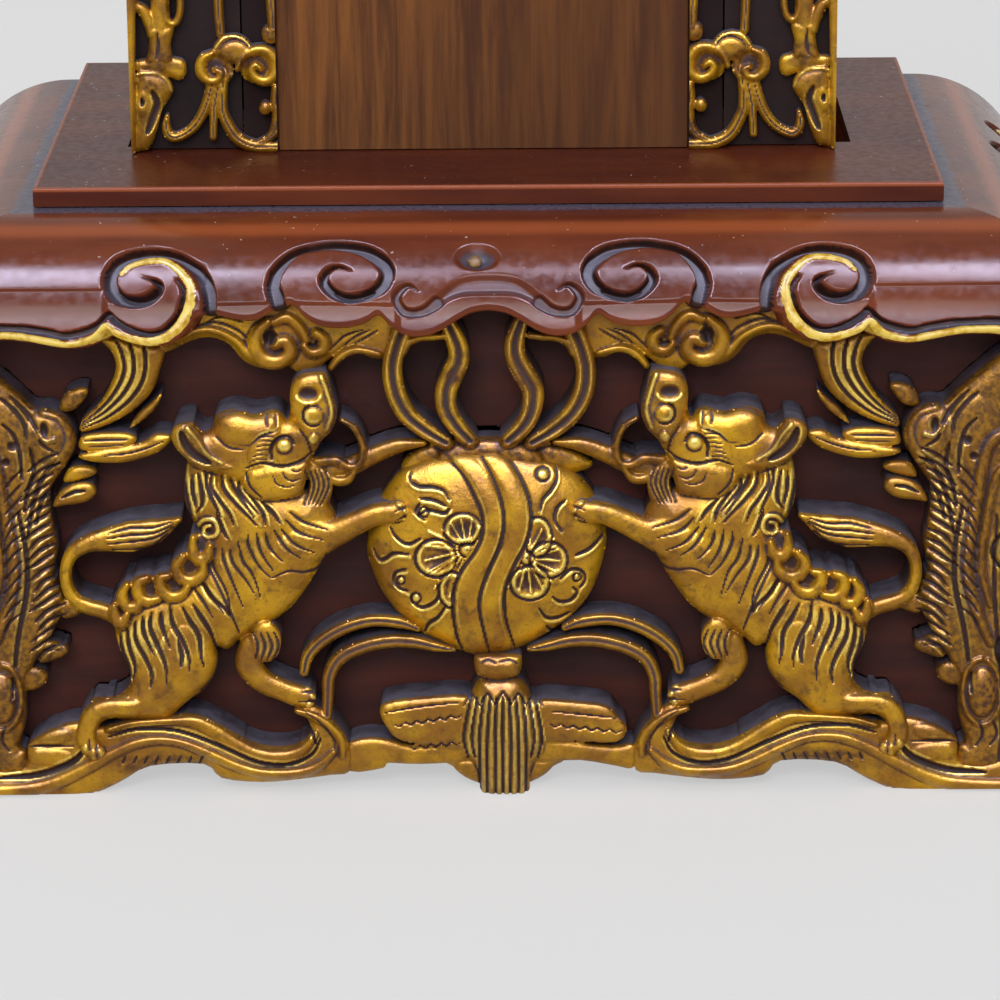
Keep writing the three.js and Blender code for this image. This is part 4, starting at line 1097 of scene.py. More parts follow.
LION_FACE_STROKES = (
    ("dome", (247, 428), (33, 18), 1.2),
    ("groove", ((215, 436), (228, 447), (244, 450)), 2, 0.5),
    ("groove", ((267, 414), (266, 421), (268, 428)), 1.5, 0.8),
    ("groove", ((276, 413), (276, 420), (277, 428)), 1.5, 0.8),
    ("form", ((249, 447), (256, 438), (266, 433), (279, 431), (276, 439), (270, 446), (268, 455),
        (265, 463), (254, 467), (246, 459)), 0.9, 2, 1.4),
    ("groove", ("fan", ((250, 462), (259, 459), (267, 459)), ((260, 437), (269, 436.5), (274.5, 436.5)), 6),
        1.1, 0.5),
    ("groove", ((272, 460), (271, 448), (277, 439), (288, 436), (294, 444)), 2.4, 1.2),
    ("dome", (284, 446), (7.5, 7), 1.7),
    ("wipe", (284, 446), 3.4, 0.2),
    ("form", LION_SNOUT_PX, 1.1, 3, 2.6),
    ("dome", (308, 393), (12, 8), -1.6, 1.0),
    ("ridge", ("arc", (308, 394), (13, 10), 20, 160), 2, 0.5, 0.8),
    ("ridge", ((321, 376), (327, 392), (332, 412), (327, 430)), 2.4, 0.7, 0.8),
    ("dome", (313, 416), (10, 9), 1.3),
    ("groove", ("arc", (314, 415), (11, 11), 60, 250), 1.8, 0.8),
    ("dome", (314, 439), (6, 6), 1.0),
    ("groove", ((299, 428), (307, 440), (311, 452)), 1.6, 0.8),
    ("form", LION_JAW_PX, 0.5, 3, 2.4),
    ("groove", ((246, 468), (262, 463), (282, 466), (300, 461), (312, 452)), 2.0, 1.0),
    ("groove", ((273, 476), (277, 484), (287, 487), (295, 485)), 1.3, 0.6),
    ("groove", ((282, 471), (286, 478), (293, 481), (301, 478)), 1.3, 0.6),
    ("groove", ((291, 469), (296, 472), (301, 470)), 1.3, 0.6),
    ("groove", ((246, 472), (250, 486), (262, 498)), 2, 0.8),
    ("band", ((308, 468), (320, 480), (318, 498), (306, 512)), (7, 12, 12, 6), -2.5, 2),
    ("groove", ("fan", ((305, 470), (309, 486), (304, 506)), ((325, 470), (329, 486), (320, 506)), 5), 1.5,
        0.8),
    ("band", ((316, 462), (336, 461), (348, 467), (358, 465), (363, 452), (360, 438), (353, 427),
        (341, 420)), (5, 5, 4, 4, 3.5, 3.5, 3, 2), -3.2, 1.5),
    ("band", ((322, 474), (336, 481), (347, 480), (354, 472)), (5, 5, 5, 3), -3.6, 1.5),
    ("tarnish", (346, 448), (44, 46), 0.9),
    ("tarnish", (316, 490), (26, 36), 0.6),
    ("tarnish", (196, 452), (30, 26), 0.7),
    ("form", ((172, 431), (180, 424), (190, 423), (197, 431), (203, 441), (212, 452), (225, 462),
        (236, 469), (215, 471), (197, 466), (182, 455), (173, 443)), 0.6, 2.2, 1.6),
    ("groove", ((181, 432), (186, 444), (196, 455), (210, 463)), 6.0, 1.8, 0.9),
    ("ridge", ((187, 428), (198, 441), (207, 454), (222, 463)), 2.2, 0.7, 1.0),
)

SCROLL_BODY_PX = [
    (-95, 745), (-40, 756), (0, 770), (26, 766), (28, 745), (38, 737), (54, 728), (76, 722), (104, 726),
    (130, 722), (172, 718), (184, 714), (205, 718), (228, 730), (251, 742), (274, 747), (298, 744),
    (312, 732),
    (306, 716), (300, 704), (316, 706), (332, 720), (345, 738), (352, 752), (349, 772), (330, 775),
    (300, 779),
    (262, 782), (222, 778), (204, 764), (150, 766), (118, 783), (76, 798), (0, 799), (-95, 797),
]
SCROLL_STROKES = (
    ("tarnish", (360, 650), (90, 50), 0.5),
    ("tarnish", (160, 764), (70, 18), 0.9),
    ("tarnish", (52, 742), (46, 22), 0.5),
    ("form", SCROLL_BODY_PX, -4.2, 2.4, 1.8, 0, 3),
    ("band", ((108, 730), (130, 724), (152, 722), (176, 721), (196, 722), (215, 731), (234, 743),
        (256, 754), (280, 757), (302, 750), (316, 733)), (3, 4, 4, 5, 7, 8, 8, 8, 8, 6, 3), -2.4, 2.4),
    ("band", ((-95, 782), (-40, 792), (20, 790), (52, 784), (86, 768), (116, 752), (138, 743), (160, 740),
        (182, 743), (205, 752), (236, 766), (262, 773), (296, 773), (318, 766), (334, 752)), (9, 9, 8, 8, 7,
        6, 6, 5, 5, 6, 6, 6, 6, 6, 3), -2.4, 2.4),
    ("band", ((297, 711), (315, 717), (331, 727), (342, 741), (343, 757)), (3, 5, 5, 5, 3), -2.4, 2.4),
    ("band", ((304, 672), (308, 656), (322, 641), (345, 628), (372, 621), (400, 623), (418, 629)), (5, 6,
        6.5, 6.5, 6, 6, 3), -4.0, 2.2, 0.5),
    ("band", ((327, 716), (328, 695), (329, 677), (338, 660), (357, 649), (385, 642), (412, 642),
        (436, 647), (454, 650)), (5, 6, 6.5, 7, 7, 7, 6.5, 5, 2), -4.0, 2.2, 0.5),
    ("groove", ((108, 737), (136, 729), (167, 729), (190, 734), (221, 746), (259, 762), (290, 764),
        (312, 754), (321, 738)), 2.4, 1.6),
    ("groove", ((28, 746), (50, 746), (74, 746)), 1.6, 1.0),
    ("groove", ((0, 778), (40, 774), (72, 762), (84, 750)), 4.5, 1.6, 0.9),
    ("groove", ((297, 716), (311, 730), (316, 744)), 2.2, 1.4),
    ("groove", ((306, 713), (322, 724), (333, 738), (336, 752)), 1.4, 0.6, 0.8),
    ("dome", (52, 736), (20, 9), 0.8),
    ("dome", (48, 757), (26, 9), 0.7),
    ("groove", ("fan", ((126, 756), (122, 764)), ((203, 756), (199, 764)), 8), 2, 0.6, 0.5),
)

CLOUD_BAND_PX = (
    (166, 344), (185, 335), (202, 330), (219, 332), (236, 341), (248, 354), (262, 361), (279, 362),
)
CLOUD_BACK_PX = [
    (150, 318), (200, 300), (262, 292), (330, 296), (392, 300), (392, 352), (372, 358), (352, 348),
    (334, 356),
    (312, 372), (297, 372), (284, 364), (262, 368), (243, 360), (229, 344), (210, 337), (190, 341),
    (166, 352),
    (152, 345),
]
PLUME_LEFT_PX = ((103, 338), (112, 352), (116, 367), (110, 386), (99, 404), (82, 421))
PLUME_RIGHT_PX = ((161, 345), (160, 369), (152, 391), (135, 409), (109, 424), (82, 432))
CLOUD_STROKES = (
    ("tarnish", (74, 400), (24, 20), 0.9),
    ("tarnish", (145, 412), (24, 24), 0.6),
    ("tarnish", (340, 330), (60, 34), 0.4),
    ("form", ((139, 413), (150, 404), (161, 394), (158, 404), (148, 416), (130, 428)), -5.5, 1.5, 1),
    ("form", (*PLUME_LEFT_PX, *PLUME_RIGHT_PX[::-1]), -4.0, 4, 2.2, 0, 3),
    ("groove", ("fan", PLUME_LEFT_PX, PLUME_RIGHT_PX, (0.22, 0.45, 0.7)), (3, 2.8, 2.6, 2.4, 2, 1.6), 1.1,
        0.9),
    ("form", ((82, 437), (100, 433), (125, 433), (137, 439), (125, 449), (100, 451), (80, 449)), -4.3, 2.2,
        1.2),
    ("form", ((140, 443), (156, 434), (172, 436), (168, 444), (156, 453), (126, 462), (95, 462), (78, 456),
        (100, 450)), -4.0, 2.2, 1.5),
    ("groove", ((84, 441), (105, 440), (130, 440)), 1.5, 0.7),
    ("groove", ((84, 446), (105, 446), (124, 445)), 1.2, 0.5),
    ("groove", ((104, 456), (130, 453), (150, 447), (164, 441)), 1.5, 0.7),
    ("form", ((53, 506), (62, 490), (79, 483), (92, 484), (96, 493), (85, 502), (66, 505)), -5.5, 2, 1.2),
    ("groove", ((62, 498), (74, 492), (86, 491)), 2.4, 1.2),
    ("form", ((64, 482), (70, 468), (88, 466), (97, 472), (84, 479)), -6.5, 2, 1),
    ("form", ((64, 395), (78, 388), (88, 390), (84, 400), (74, 410), (60, 410)), -6.5, 2, 1),
    ("form", CLOUD_BACK_PX, -5.2, 2.5, 1.2, 0, 3),
    ("band", CLOUD_BAND_PX, (3, 4, 4, 4, 4, 5, 5, 4), -3.6, 1.8),
    ("groove", ((190, 330), (214, 322), (238, 330), (250, 342)), 1.8, 0.8),
    ("groove", ((204, 324), (222, 316), (244, 322)), 1.6, 0.7),
    ("band", ((268, 322), (257, 333), (255, 348), (264, 360), (279, 362), (290, 353), (286, 342),
        (277, 343)), (4, 6, 7.5, 8, 7.5, 6.5, 6, 6), -2.4, 2),
    ("dome", (270, 337), (8, 10), -2.2, 1.0),
    ("band", ((331, 368), (340, 357), (356, 350), (379, 354)), (3, 4, 4, 3), -3.8, 1.4),
    ("band", ((274, 322), (288, 318), (300, 328), (306, 340)), (4, 5, 5, 4), -3.4, 1.5),
    ("band", ((304, 346), (312, 353), (322, 350), (324, 340), (316, 333)), (3, 4.5, 5, 5, 4), -3.0, 1.5),
    ("groove", ((308, 343), (314, 346), (317, 341)), 2.0, 1.0),
    ("groove", ("fan", ((330, 350), (344, 336), (362, 330)), ((354, 344), (368, 336), (378, 330)), 3), 1.5,
        0.7, 0.8),
)

FOLIAGE_PX = [
    (-98, 352), (-70, 346), (-30, 356), (0, 378), (19, 394), (33, 407), (48, 409), (62, 415), (72, 428),
    (77, 444),
    (70, 458), (61, 472), (51, 488), (50, 506), (54, 528), (58, 548), (54, 572), (62, 590), (64, 606),
    (53, 632),
    (44, 650), (31, 669), (26, 688), (26, 720), (20, 745), (28, 752), (28, 775), (0, 780), (-98, 780),
]
ACANTHUS_LINES_PX = (
    ((0, 398), (14, 410), (24, 424), (27, 440)), ((10, 396), (26, 412), (36, 428), (42, 444), (54, 452)),
    ((30, 448), (34, 470), (28, 490), (24, 512)), ((60, 462), (46, 472), (34, 500), (27, 540)),
    ((52, 486), (42, 500), (36, 524)), ((2, 424), (14, 436), (20, 456), (22, 480)),
)
LEAF_STROKES = (
    ("tarnish", (24, 610), (70, 240), 0.85),
    ("tarnish", (2, 698), (26, 42), 1.0),
    ("tarnish", (16, 450), (34, 60), 0.75),
    ("form", ((28, 640), (46, 640), (66, 645), (68, 653), (56, 659), (40, 662)), -6.5, 2, 1.2),
    ("form", ((20, 672), (36, 668), (47, 674), (45, 684), (33, 690), (22, 688)), -6.5, 2, 1.2),
    ("groove", ((38, 651), (50, 650), (60, 650)), 1.8, 0.7),
    ("form", ((58, 600), (80, 600), (100, 604), (84, 612), (64, 618)), -6.0, 2, 1.2),
    ("form", FOLIAGE_PX, -4.5, 5, 3, 0, 3),
    ("dome", (52, 435), (26, 30), 1.4),
    ("dome", (6, 440), (26, 40), 1.0),
    ("dome", (26, 600), (30, 90), 1.0),
    ("groove", ("lines", ACANTHUS_LINES_PX), 2.6, 1.2),
    ("dome", (44, 430), (5, 9), -1.8, 1.0),
    ("dome", (12, 446), (6, 6), -1.4, 0.9),
    ("dome", (6, 462), (5, 5), -1.4, 0.9),
    ("ridge", ((44, 411), (60, 416), (70, 430), (70, 447), (60, 464)), 6, 1.0, 0.8),
    ("ridge", ((36, 432), (40, 438), (46, 442), (54, 440)), 3, 0.9, 0.8),
    ("band", ((-60, 470), (-40, 440), (-10, 450), (2, 500), (10, 540), (14, 575), (6, 615), (-8, 650)), (5,
        6, 6, 6, 6, 6, 6, 4), -2.4, 2.2),
    ("band", ((-52, 500), (-36, 474), (-18, 480), (-8, 516), (-1, 552), (0, 580), (-8, 612)), (3, 4, 5, 5,
        5, 5, 3), -3.0, 2.0),
    ("groove", ((18, 512), (26, 550), (27, 590), (18, 640), (12, 700)), 3.2, 1.4),
)
MEDALLION_STROKES = (
    ("band", ("arc", (2, 698), (19, 33), -90, 250, 14), 3.2, -3.4, 1.6),
    ("dome", (2, 698), (15, 27), 2.2),
)
STEM_STROKES = (("groove", ((0, 520), (4, 600), (-2, 700), (3, 770)), 2.4, 1.1),)
LEAF_END_STROKES = (
    ("each", ((-92, 0), (-84, 0), (-16, 0)), STEM_STROKES),
    ("dome", (-84, 540), (14, 40), 1.5),
    ("groove", ("fan", ((10, 752), (2, 740), (6, 726)), ((-46, 752), (-54, 740), (-50, 726)), 5), 2, 0.9),
)

# Cuts and lips down the edge of the leaf: a cut and a lip, which way their points wave, and their values
VEINS = 20
VEIN_TOP_PX = (52, 452)
VEIN_STEP_PX = 10
VEIN_SWAY_PX, VEIN_SWAY_TURN = 6, 0.3
VEIN_WAVE_PX, VEIN_WAVE_TURN = 4, 1.7
VEIN_STROKES_PX = (
    ("groove", ((-24, 20), (-10, 8), (6, 1)), ((1, 0), (0, 0), (1, 0)), (1.9, 1.0, 0.9)),
    ("ridge", ((-20, 22), (-8, 13), (4, 5)), ((0, 1), (0, 0), (0, 0)), (1.8, 0.5, 0.6)),
)
INNER_VEINS = 12
INNER_VEIN_PX = ((22, 470), (12, 479), (4, 490))
INNER_VEIN_STEP_PX = (0, 13)
INNER_VEIN_WAVE_PX = ((0, 0), (2, 0), (0, 0))
INNER_VEIN_CUT = (1.7, 0.9, 0.9)
LEAF_CURLS_PX = (
    (-30, 560, 20), (-66, 600, 24), (-34, 660, 22), (-74, 690, 18), (-40, 730, 20), (-78, 420, 20),
)
LEAF_CURL = (140, 1.3, 0.2, 18)
LEAF_CURL_RIDGE = (5, 1.8, 1.0)
LEAF_CURL_ROUND = 1.35
LEAF_CURL_OUTER = (150, 1.2, 0.4, 18)
LEAF_CURL_CUT = (2.2, 1.2)


def leaf_veins():
    """Strokes for the short cuts and lips down the edge of the leaf, and for the cuts down its middle."""
    strokes = []
    for step in range(VEINS):
        sway = VEIN_SWAY_PX * math.sin(VEIN_SWAY_TURN * step)
        spot = (VEIN_TOP_PX[0] - sway, VEIN_TOP_PX[1] + VEIN_STEP_PX * step)
        wave = VEIN_WAVE_PX * math.sin(VEIN_WAVE_TURN * step)
        for word, line, waved, values in VEIN_STROKES_PX:
            points = np.add(spot, line) + wave * np.array(waved)
            strokes.append((word, points.tolist(), *values))
    for step in range(INNER_VEINS):
        points = np.add(INNER_VEIN_PX, np.multiply(INNER_VEIN_STEP_PX, step))
        points = points + math.sin(step) * np.array(INNER_VEIN_WAVE_PX)
        strokes.append(("groove", points.tolist(), *INNER_VEIN_CUT))
    return strokes


def leaf_curls():
    """Strokes for the curls at the outer end, each a ridge with a cut round it."""
    strokes = []
    for x, y, size in LEAF_CURLS_PX:
        strokes.append(("ridge", ("curl", (x, y), size, *LEAF_CURL), *LEAF_CURL_RIDGE))
        around = ("curl", (x, y), size * LEAF_CURL_ROUND, *LEAF_CURL_OUTER)
        strokes.append(("groove", around, *LEAF_CURL_CUT))
    return strokes


FOLIAGE_STROKES = (*LEAF_STROKES, *leaf_veins(), *MEDALLION_STROKES, *leaf_curls(), *LEAF_END_STROKES)


BALL_PX = [
    (396, 475), (416, 463), (443, 455), (488, 451), (542, 458), (570, 470), (589, 486), (602, 510),
    (607, 536),
    (600, 569), (590, 593), (572, 615), (545, 634), (518, 648), (488, 656), (460, 650), (432, 638),
    (405, 620),
    (384, 594), (372, 568), (367, 545), (374, 510),
]
BALL_RIBBON_LEFT_PX = (
    (446, 456), (463, 475), (474, 495), (482, 515), (482, 535), (475, 552), (462, 570), (454, 588),
    (453, 611), (457, 636), (464, 652),
)
BALL_RIBBON_MIDDLE_PX = (
    (480, 454), (492, 476), (501, 500), (504, 523), (500, 545), (490, 568), (482, 588), (479, 606),
    (483, 628), (490, 654),
)
BALL_RIBBON_RIGHT_PX = (
    (506, 453), (519, 475), (528, 496), (531, 515), (530, 530), (525, 546), (516, 562), (508, 580),
    (504, 598), (506, 620), (514, 645),
)
PETALS_PX = (
    ((452, 590), (13, 18), 0.2), ((436, 558), (21, 19), 0.5), ((463, 529), (19, 16), 1.0),
    ((538, 537), (14, 20), 0.2), ((549, 560), (19, 18), 0.5), ((530, 583), (20, 17), 0.9),
)
BUDS_PX = ((467, 550), (527, 558))
INCISED_PX = (
    ((411, 472), (410, 480), (418, 486), (434, 487), (444, 491), (449, 500)),
    ((390, 526), (396, 537), (408, 544), (421, 538)),
    ((373, 547), (379, 559), (386, 558), (394, 553), (409, 554)),
    ((406, 569), (396, 572), (394, 581), (400, 588), (408, 591)),
    ((411, 596), (414, 603), (422, 607), (433, 603), (439, 595), (437, 584)),
    ((425, 631), (429, 623), (438, 617), (446, 606)),
    ((420, 498), (434, 500), (446, 506)), ((418, 516), (428, 510), (444, 513), (450, 508)),
    ((556, 466), (557, 478), (551, 490), (543, 499), (540, 511)),
    ((565, 500), (557, 508), (555, 520), (562, 532)),
    ((603, 534), (590, 548), (575, 555)), ((560, 579), (571, 569), (582, 571), (585, 580), (579, 588)),
    ((552, 596), (559, 601), (570, 600), (577, 592), (573, 587)),
    ((539, 608), (546, 617), (558, 617), (571, 611)),
    ((546, 626), (554, 630), (564, 624)), ((424, 520), (416, 512), (420, 503)),
)
INCISED_LOOPS_PX = (((543, 474), 7), ((416, 598), 5), ((401, 580), 4), ((577, 577), 4), ((424, 512), 5))
BALL_DROP = 0.9
BALL_FORM = (17, 8, 0, 3)
INCISED_CUT = (2.6, 0.9)
INCISED_LIP_PX = (1, 4)
INCISED_LIP = (2.2, 0.35, 0.6)
LOOP_CUT = (1.8, 0.7)
LOOP_LIFT = 0.8
PETAL_POINTS = 14
PETAL_CUT = (2.2, 0.7, 1.0, 3)
PETAL_LIFT = 0.7
PETAL_HOLLOW_SHARE, PETAL_HOLLOW = 0.7, -0.9
PETAL_RIM_SHARE = 0.82
PETAL_RIM = (2.4, 0.5, 1.0, 3)
PETAL_RAYS = (-40, -20, 0, 20, 40)
PETAL_RAY_START_PX = 9
PETAL_RAY_SHARE = 0.6
PETAL_RAY = (1.3, 0.7, 0.9, 2)
BUD_STROKES = (
    ("dome", (0, 0), (10, 10), -1.2, 0.9),
    ("dome", (0, 0), (7, 7), 2.2),
    ("ridge", ("arc", (0, 0), (4, 4), 0, 360, 8), 3.0, 0.1, 1.0, 2),
)
BALL_RIBBON_HALF_PX, BALL_RIBBON_WINDOW_PX = 25, 27
BALL_RIBBON_LIFT, BALL_RIBBON_EDGE = 0.9, 1.2
BALL_RIBBON_STROKES = (
    ("groove", BALL_RIBBON_LEFT_PX, 2.8, 0.8),
    ("groove", BALL_RIBBON_RIGHT_PX, 2.8, 0.8),
    ("groove", BALL_RIBBON_MIDDLE_PX, 2.8, 0.9),
    ("dome", ("fan", BALL_RIBBON_LEFT_PX[0], BALL_RIBBON_RIGHT_PX[0], (0.25, 0.75)), (10, 12), 0.3),
    ("ridge", ("fan", BALL_RIBBON_LEFT_PX, BALL_RIBBON_RIGHT_PX, (0.25, 0.75)), 9, 0.45),
)


def draw_petal(relief, centre, radii, dark):
    """A hollow petal with a rim, and rays towards it from the bud that it belongs to."""
    wide, tall = radii
    relief.dome(centre, radii, PETAL_LIFT)
    relief.groove(arc(centre, radii, count=PETAL_POINTS), *PETAL_CUT)
    relief.dome(centre, (PETAL_HOLLOW_SHARE * wide, PETAL_HOLLOW_SHARE * tall), PETAL_HOLLOW, dark)
    rim = arc(centre, (PETAL_RIM_SHARE * wide, PETAL_RIM_SHARE * tall), count=PETAL_POINTS)
    relief.ridge(rim, *PETAL_RIM)
    bud = min(BUDS_PX, key=lambda spot: math.dist(spot, centre))
    reach = math.dist(bud, centre)
    for turn in PETAL_RAYS:
        away = math.atan2(centre[1] - bud[1], centre[0] - bud[0]) + math.radians(turn)
        way = np.array((math.cos(away), math.sin(away)))
        ray = [bud + r * way for r in (PETAL_RAY_START_PX, reach, reach + PETAL_RAY_SHARE * min(wide, tall))]
        relief.ridge(ray, *PETAL_RAY)


def draw_ball(relief):
    """The brocade ball, with a ribbon round its middle."""
    relief.form(BALL_PX, HIGH - BALL_DROP, *BALL_FORM)
    for line in INCISED_PX:
        relief.groove(line, *INCISED_CUT)
        relief.ridge(np.add(line, INCISED_LIP_PX), *INCISED_LIP)
    for centre, size in INCISED_LOOPS_PX:
        relief.groove(arc(centre, (size, size)), *LOOP_CUT)
        relief.dome(centre, (size - 1, size - 1), LOOP_LIFT)
    for centre, radii, dark in PETALS_PX:
        draw_petal(relief, centre, radii, dark)
    carve(relief, HIGH, (("each", BUDS_PX, BUD_STROKES),))
    middle = np.add(BALL_RIBBON_LEFT_PX, BALL_RIBBON_RIGHT_PX) / 2
    path = smooth_path(relief.to_plane(middle))
    view = relief.window(path, BALL_RIBBON_WINDOW_PX * PX)
    away, _ = path_distance(relief.x[view], relief.z[view], path)
    depth = BALL_RIBBON_HALF_PX * PX - away
    ribbon = BALL_RIBBON_LIFT * round_over(depth / BALL_RIBBON_EDGE)
    relief.detail[view] = np.where(depth > 0, ribbon, relief.detail[view])
    relief.paint[view] = np.where(depth > 0, 0, relief.paint[view])
    carve(relief, HIGH, BALL_RIBBON_STROKES)


RIBBON_STROKES = (
    ("band", ((404, 326), (396, 348), (392, 370), (396, 394), (407, 415), (426, 431), (446, 443)), (10, 10,
        10, 10, 9.5, 8.5, 6), -3.3, 1.6, 1.1),
    ("band", ((447, 322), (456, 342), (459, 358), (453, 374), (446, 391), (447, 410), (457, 427),
        (470, 441)), (7, 10, 10.5, 11, 11, 10, 9, 7), -3.3, 1.6, 1.1),
    ("band", ((521, 322), (515, 342), (516, 358), (524, 374), (533, 391), (531, 412), (522, 428),
        (508, 441)), (7, 10, 10.5, 11, 11, 10, 9, 7), -3.3, 1.6, 1.1),
    ("band", ((572, 326), (581, 348), (586, 370), (583, 394), (571, 415), (552, 431), (532, 443)), (10, 10,
        10, 10, 9.5, 8.5, 6), -3.3, 1.6, 1.1),
    ("band", ((402, 352), (408, 343), (420, 338), (434, 337), (446, 336)), (5, 4, 3.5, 3.5, 3), -3.7, 1.4),
    ("band", ((574, 352), (568, 343), (556, 338), (542, 337), (530, 336)), (5, 4, 3.5, 3.5, 3), -3.7, 1.4),
    ("tarnish", (455, 376), (15, 13), 0.95),
    ("tarnish", (528, 384), (15, 13), 0.95),
    ("form", ((440, 452), (456, 444), (488, 440), (520, 444), (538, 452), (540, 466), (488, 474),
        (438, 466)), -5.5, 3, 2),
    ("form", ((402, 470), (414, 450), (440, 441), (488, 437), (540, 441), (574, 450), (592, 466),
        (540, 478), (440, 478)), -7.9, 3, 2),
    # The fully dimmed patch on the low masses behind the top of the ball is painted shade
    ("tarnish", (496, 452), (120, 22), 1.0),
)

TASSEL_PX = [
    (474, 688), (480, 679), (496, 676), (508, 676), (521, 680), (529, 690), (533, 706), (540, 716),
    (544, 735),
    (544, 752), (534, 762), (529, 778), (526, 799), (484, 799), (480, 776), (474, 762), (463, 752),
    (462, 730),
    (465, 708),
]
BAR_LEFT_PX = (
    (380, 713), (386, 703), (419, 698), (470, 697), (474, 722), (470, 747), (419, 744), (398, 739),
    (388, 729),
)
BAR_RIGHT_PX = (
    (530, 702), (589, 703), (610, 708), (618, 718), (627, 729), (616, 742), (575, 741), (530, 738),
)
FOOT_LEFT_PX = (
    (346, 746), (368, 738), (394, 741), (412, 745), (462, 744), (466, 760), (420, 764), (388, 763),
    (383, 768), (349, 771),
)
FOOT_RIGHT_PX = (
    (530, 738), (560, 740), (612, 746), (632, 744), (640, 756), (632, 768), (617, 766), (580, 760),
    (530, 760),
)
TASSEL_STROKES = (
    ("tarnish", (504, 750), (60, 110), 0.65),
    ("form", ("arc", (503, 754), (54, 32), 8, 172), -6.0, 2, 1.5),
    ("form", ("lines", (FOOT_LEFT_PX, FOOT_RIGHT_PX)), -5.2, 2, 1.2, 0, 3),
    ("form", ("lines", (BAR_LEFT_PX, BAR_RIGHT_PX)), -3.6, 2, 1.4, 0, 3),
    ("groove", ((384, 713), (417, 707), (462, 702)), 1.3, 0.9),
    ("groove", ((549, 711), (590, 715), (616, 718)), 1.3, 0.9),
    ("groove", ("zigzag", (394, 724), (462, 714), 6, 3.5), 1.4, 0.9, 1.0, 2),
    ("groove", ("zigzag", (549, 723), (622, 730), 6, 3.5), 1.4, 0.9, 1.0, 2),
    ("groove", ("zigzag", (410, 746), (462, 741), 5, 3.5), 1.4, 0.9, 1.0, 2),
    ("form", TASSEL_PX, -0.8, 7, 5.5, 0, 3),
    ("groove", ("fan", ((471, 698), (464.5, 730), (464.5, 743), (468.4, 757)), ((477.4, 698), (472.2, 730),
        (472.2, 743), (475.32, 757)), 2), 1.8, 1.1, 1.0, 3, 0.7),
    ("groove", ("fan", ((483.8, 698), (479.9, 730), (479.9, 788), (482.24, 802)), ((522.2, 698),
        (526.1, 730), (526.1, 788), (523.76, 802)), 7), 1.8, 1.1, 1.0, 3, 0.7),
    ("groove", ("fan", ((528.6, 698), (533.8, 730), (533.8, 743), (530.68, 757)), ((535, 698), (541.5, 730),
        (541.5, 743), (537.6, 757)), 2), 1.8, 1.1, 1.0, 3, 0.7),
    ("ridge", ("fan", ((474.2, 702), (467.7, 740)), ((538.2, 702), (544.7, 740)), 11), 1.4, 0.3, 0, 2),
    ("groove", ("fan", ((464, 706), (472, 694), (480, 706)), ((526, 706), (534, 694), (542, 706)), (0, 1)),
        1.6, 0.8, 0.9, 2),
    ("groove", ("fan", ((479.5, 706), (487.5, 693), (495.5, 706)), ((510.5, 706), (518.5, 693),
        (526.5, 706)), (0, 1)), 1.6, 0.8, 0.9, 2),
    ("groove", ((495, 706), (503, 692), (511, 706)), 1.6, 0.8, 0.9, 2),
    ("form", ((474, 660), (480, 655), (516, 655), (522, 660), (519, 674), (508, 679), (488, 679),
        (477, 674)), -1.6, 4, 3),
    ("groove", ((476, 676), (498, 681), (520, 676)), 1.6, 0.8),
    ("groove", ((480, 664), (488, 660), (496, 664)), 1.6, 0.6),
    ("groove", ((500, 662), (510, 660), (518, 664)), 1.6, 0.6),
)


def drawn(strokes, dull=0.0):
    """Draws a table of strokes, with its gold dulled this much all over."""
    def draw(relief):
        relief.dull[:] = dull
        carve(relief, HIGH, strokes)
    return draw


# Name, drawing, the region of the photograph that holds it, and its reach
LEFT_AND_RIGHT = (
    ("lion", drawn(LION_STROKES + LION_FACE_STROKES), (40, 350), (430, 775), MIDDLE),
    ("scrolls", drawn(SCROLL_STROKES, SCROLL_DULL), (-110, 600), (460, 812), SCROLL),
    ("clouds", drawn(CLOUD_STROKES, CLOUD_DULL), (40, 285), (400, 520), BAND),
    ("foliage", drawn(FOLIAGE_STROKES, FOLIAGE_DULL), (-110, 330), (110, 800), BAND),
)
IN_THE_MIDDLE = (
    ("ball", draw_ball, (360, 445), (615, 662), MIDDLE),
    ("ribbons", drawn(RIBBON_STROKES, RIBBON_DULL), (365, 300), (615, 475), RIBBON),
    ("tassel", drawn(TASSEL_STROKES, TASSEL_DULL), (340, 645), (645, 812), MIDDLE),
)


def front_mesh(name, draw, low_px, high_px, reach):
    """A carving over a region of the photograph, on lines of sight through a plane at its reach."""
    def to_plane(points):
        return on_upright(points, TIER_FRONT - reach)
    spots = to_plane((low_px, high_px))
    relief = flat_relief(spots.min(0), spots.max(0), CELL, to_plane, PX)
    relief.plane = reach
    relief.ceiling = BOARDS_TOP
    return relief_mesh(name, relief, draw, flat_back(CARVING_BACK), front_place, front_limit)


def front_meshes():
    meshes = []
    for name, *values in LEFT_AND_RIGHT:
        left = front_mesh(name + "_left", *values)
        meshes += [left, mirrored_mesh(left, name + "_right")]
    return meshes + [front_mesh(*row) for row in IN_THE_MIDDLE]


CARVED = [make_object(mesh.name, mesh, GILDING, "base") for mesh in front_meshes()]
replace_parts(CARVED[0], "front_carving")


# Moulded top board, whose carving is drawn in px of the photograph

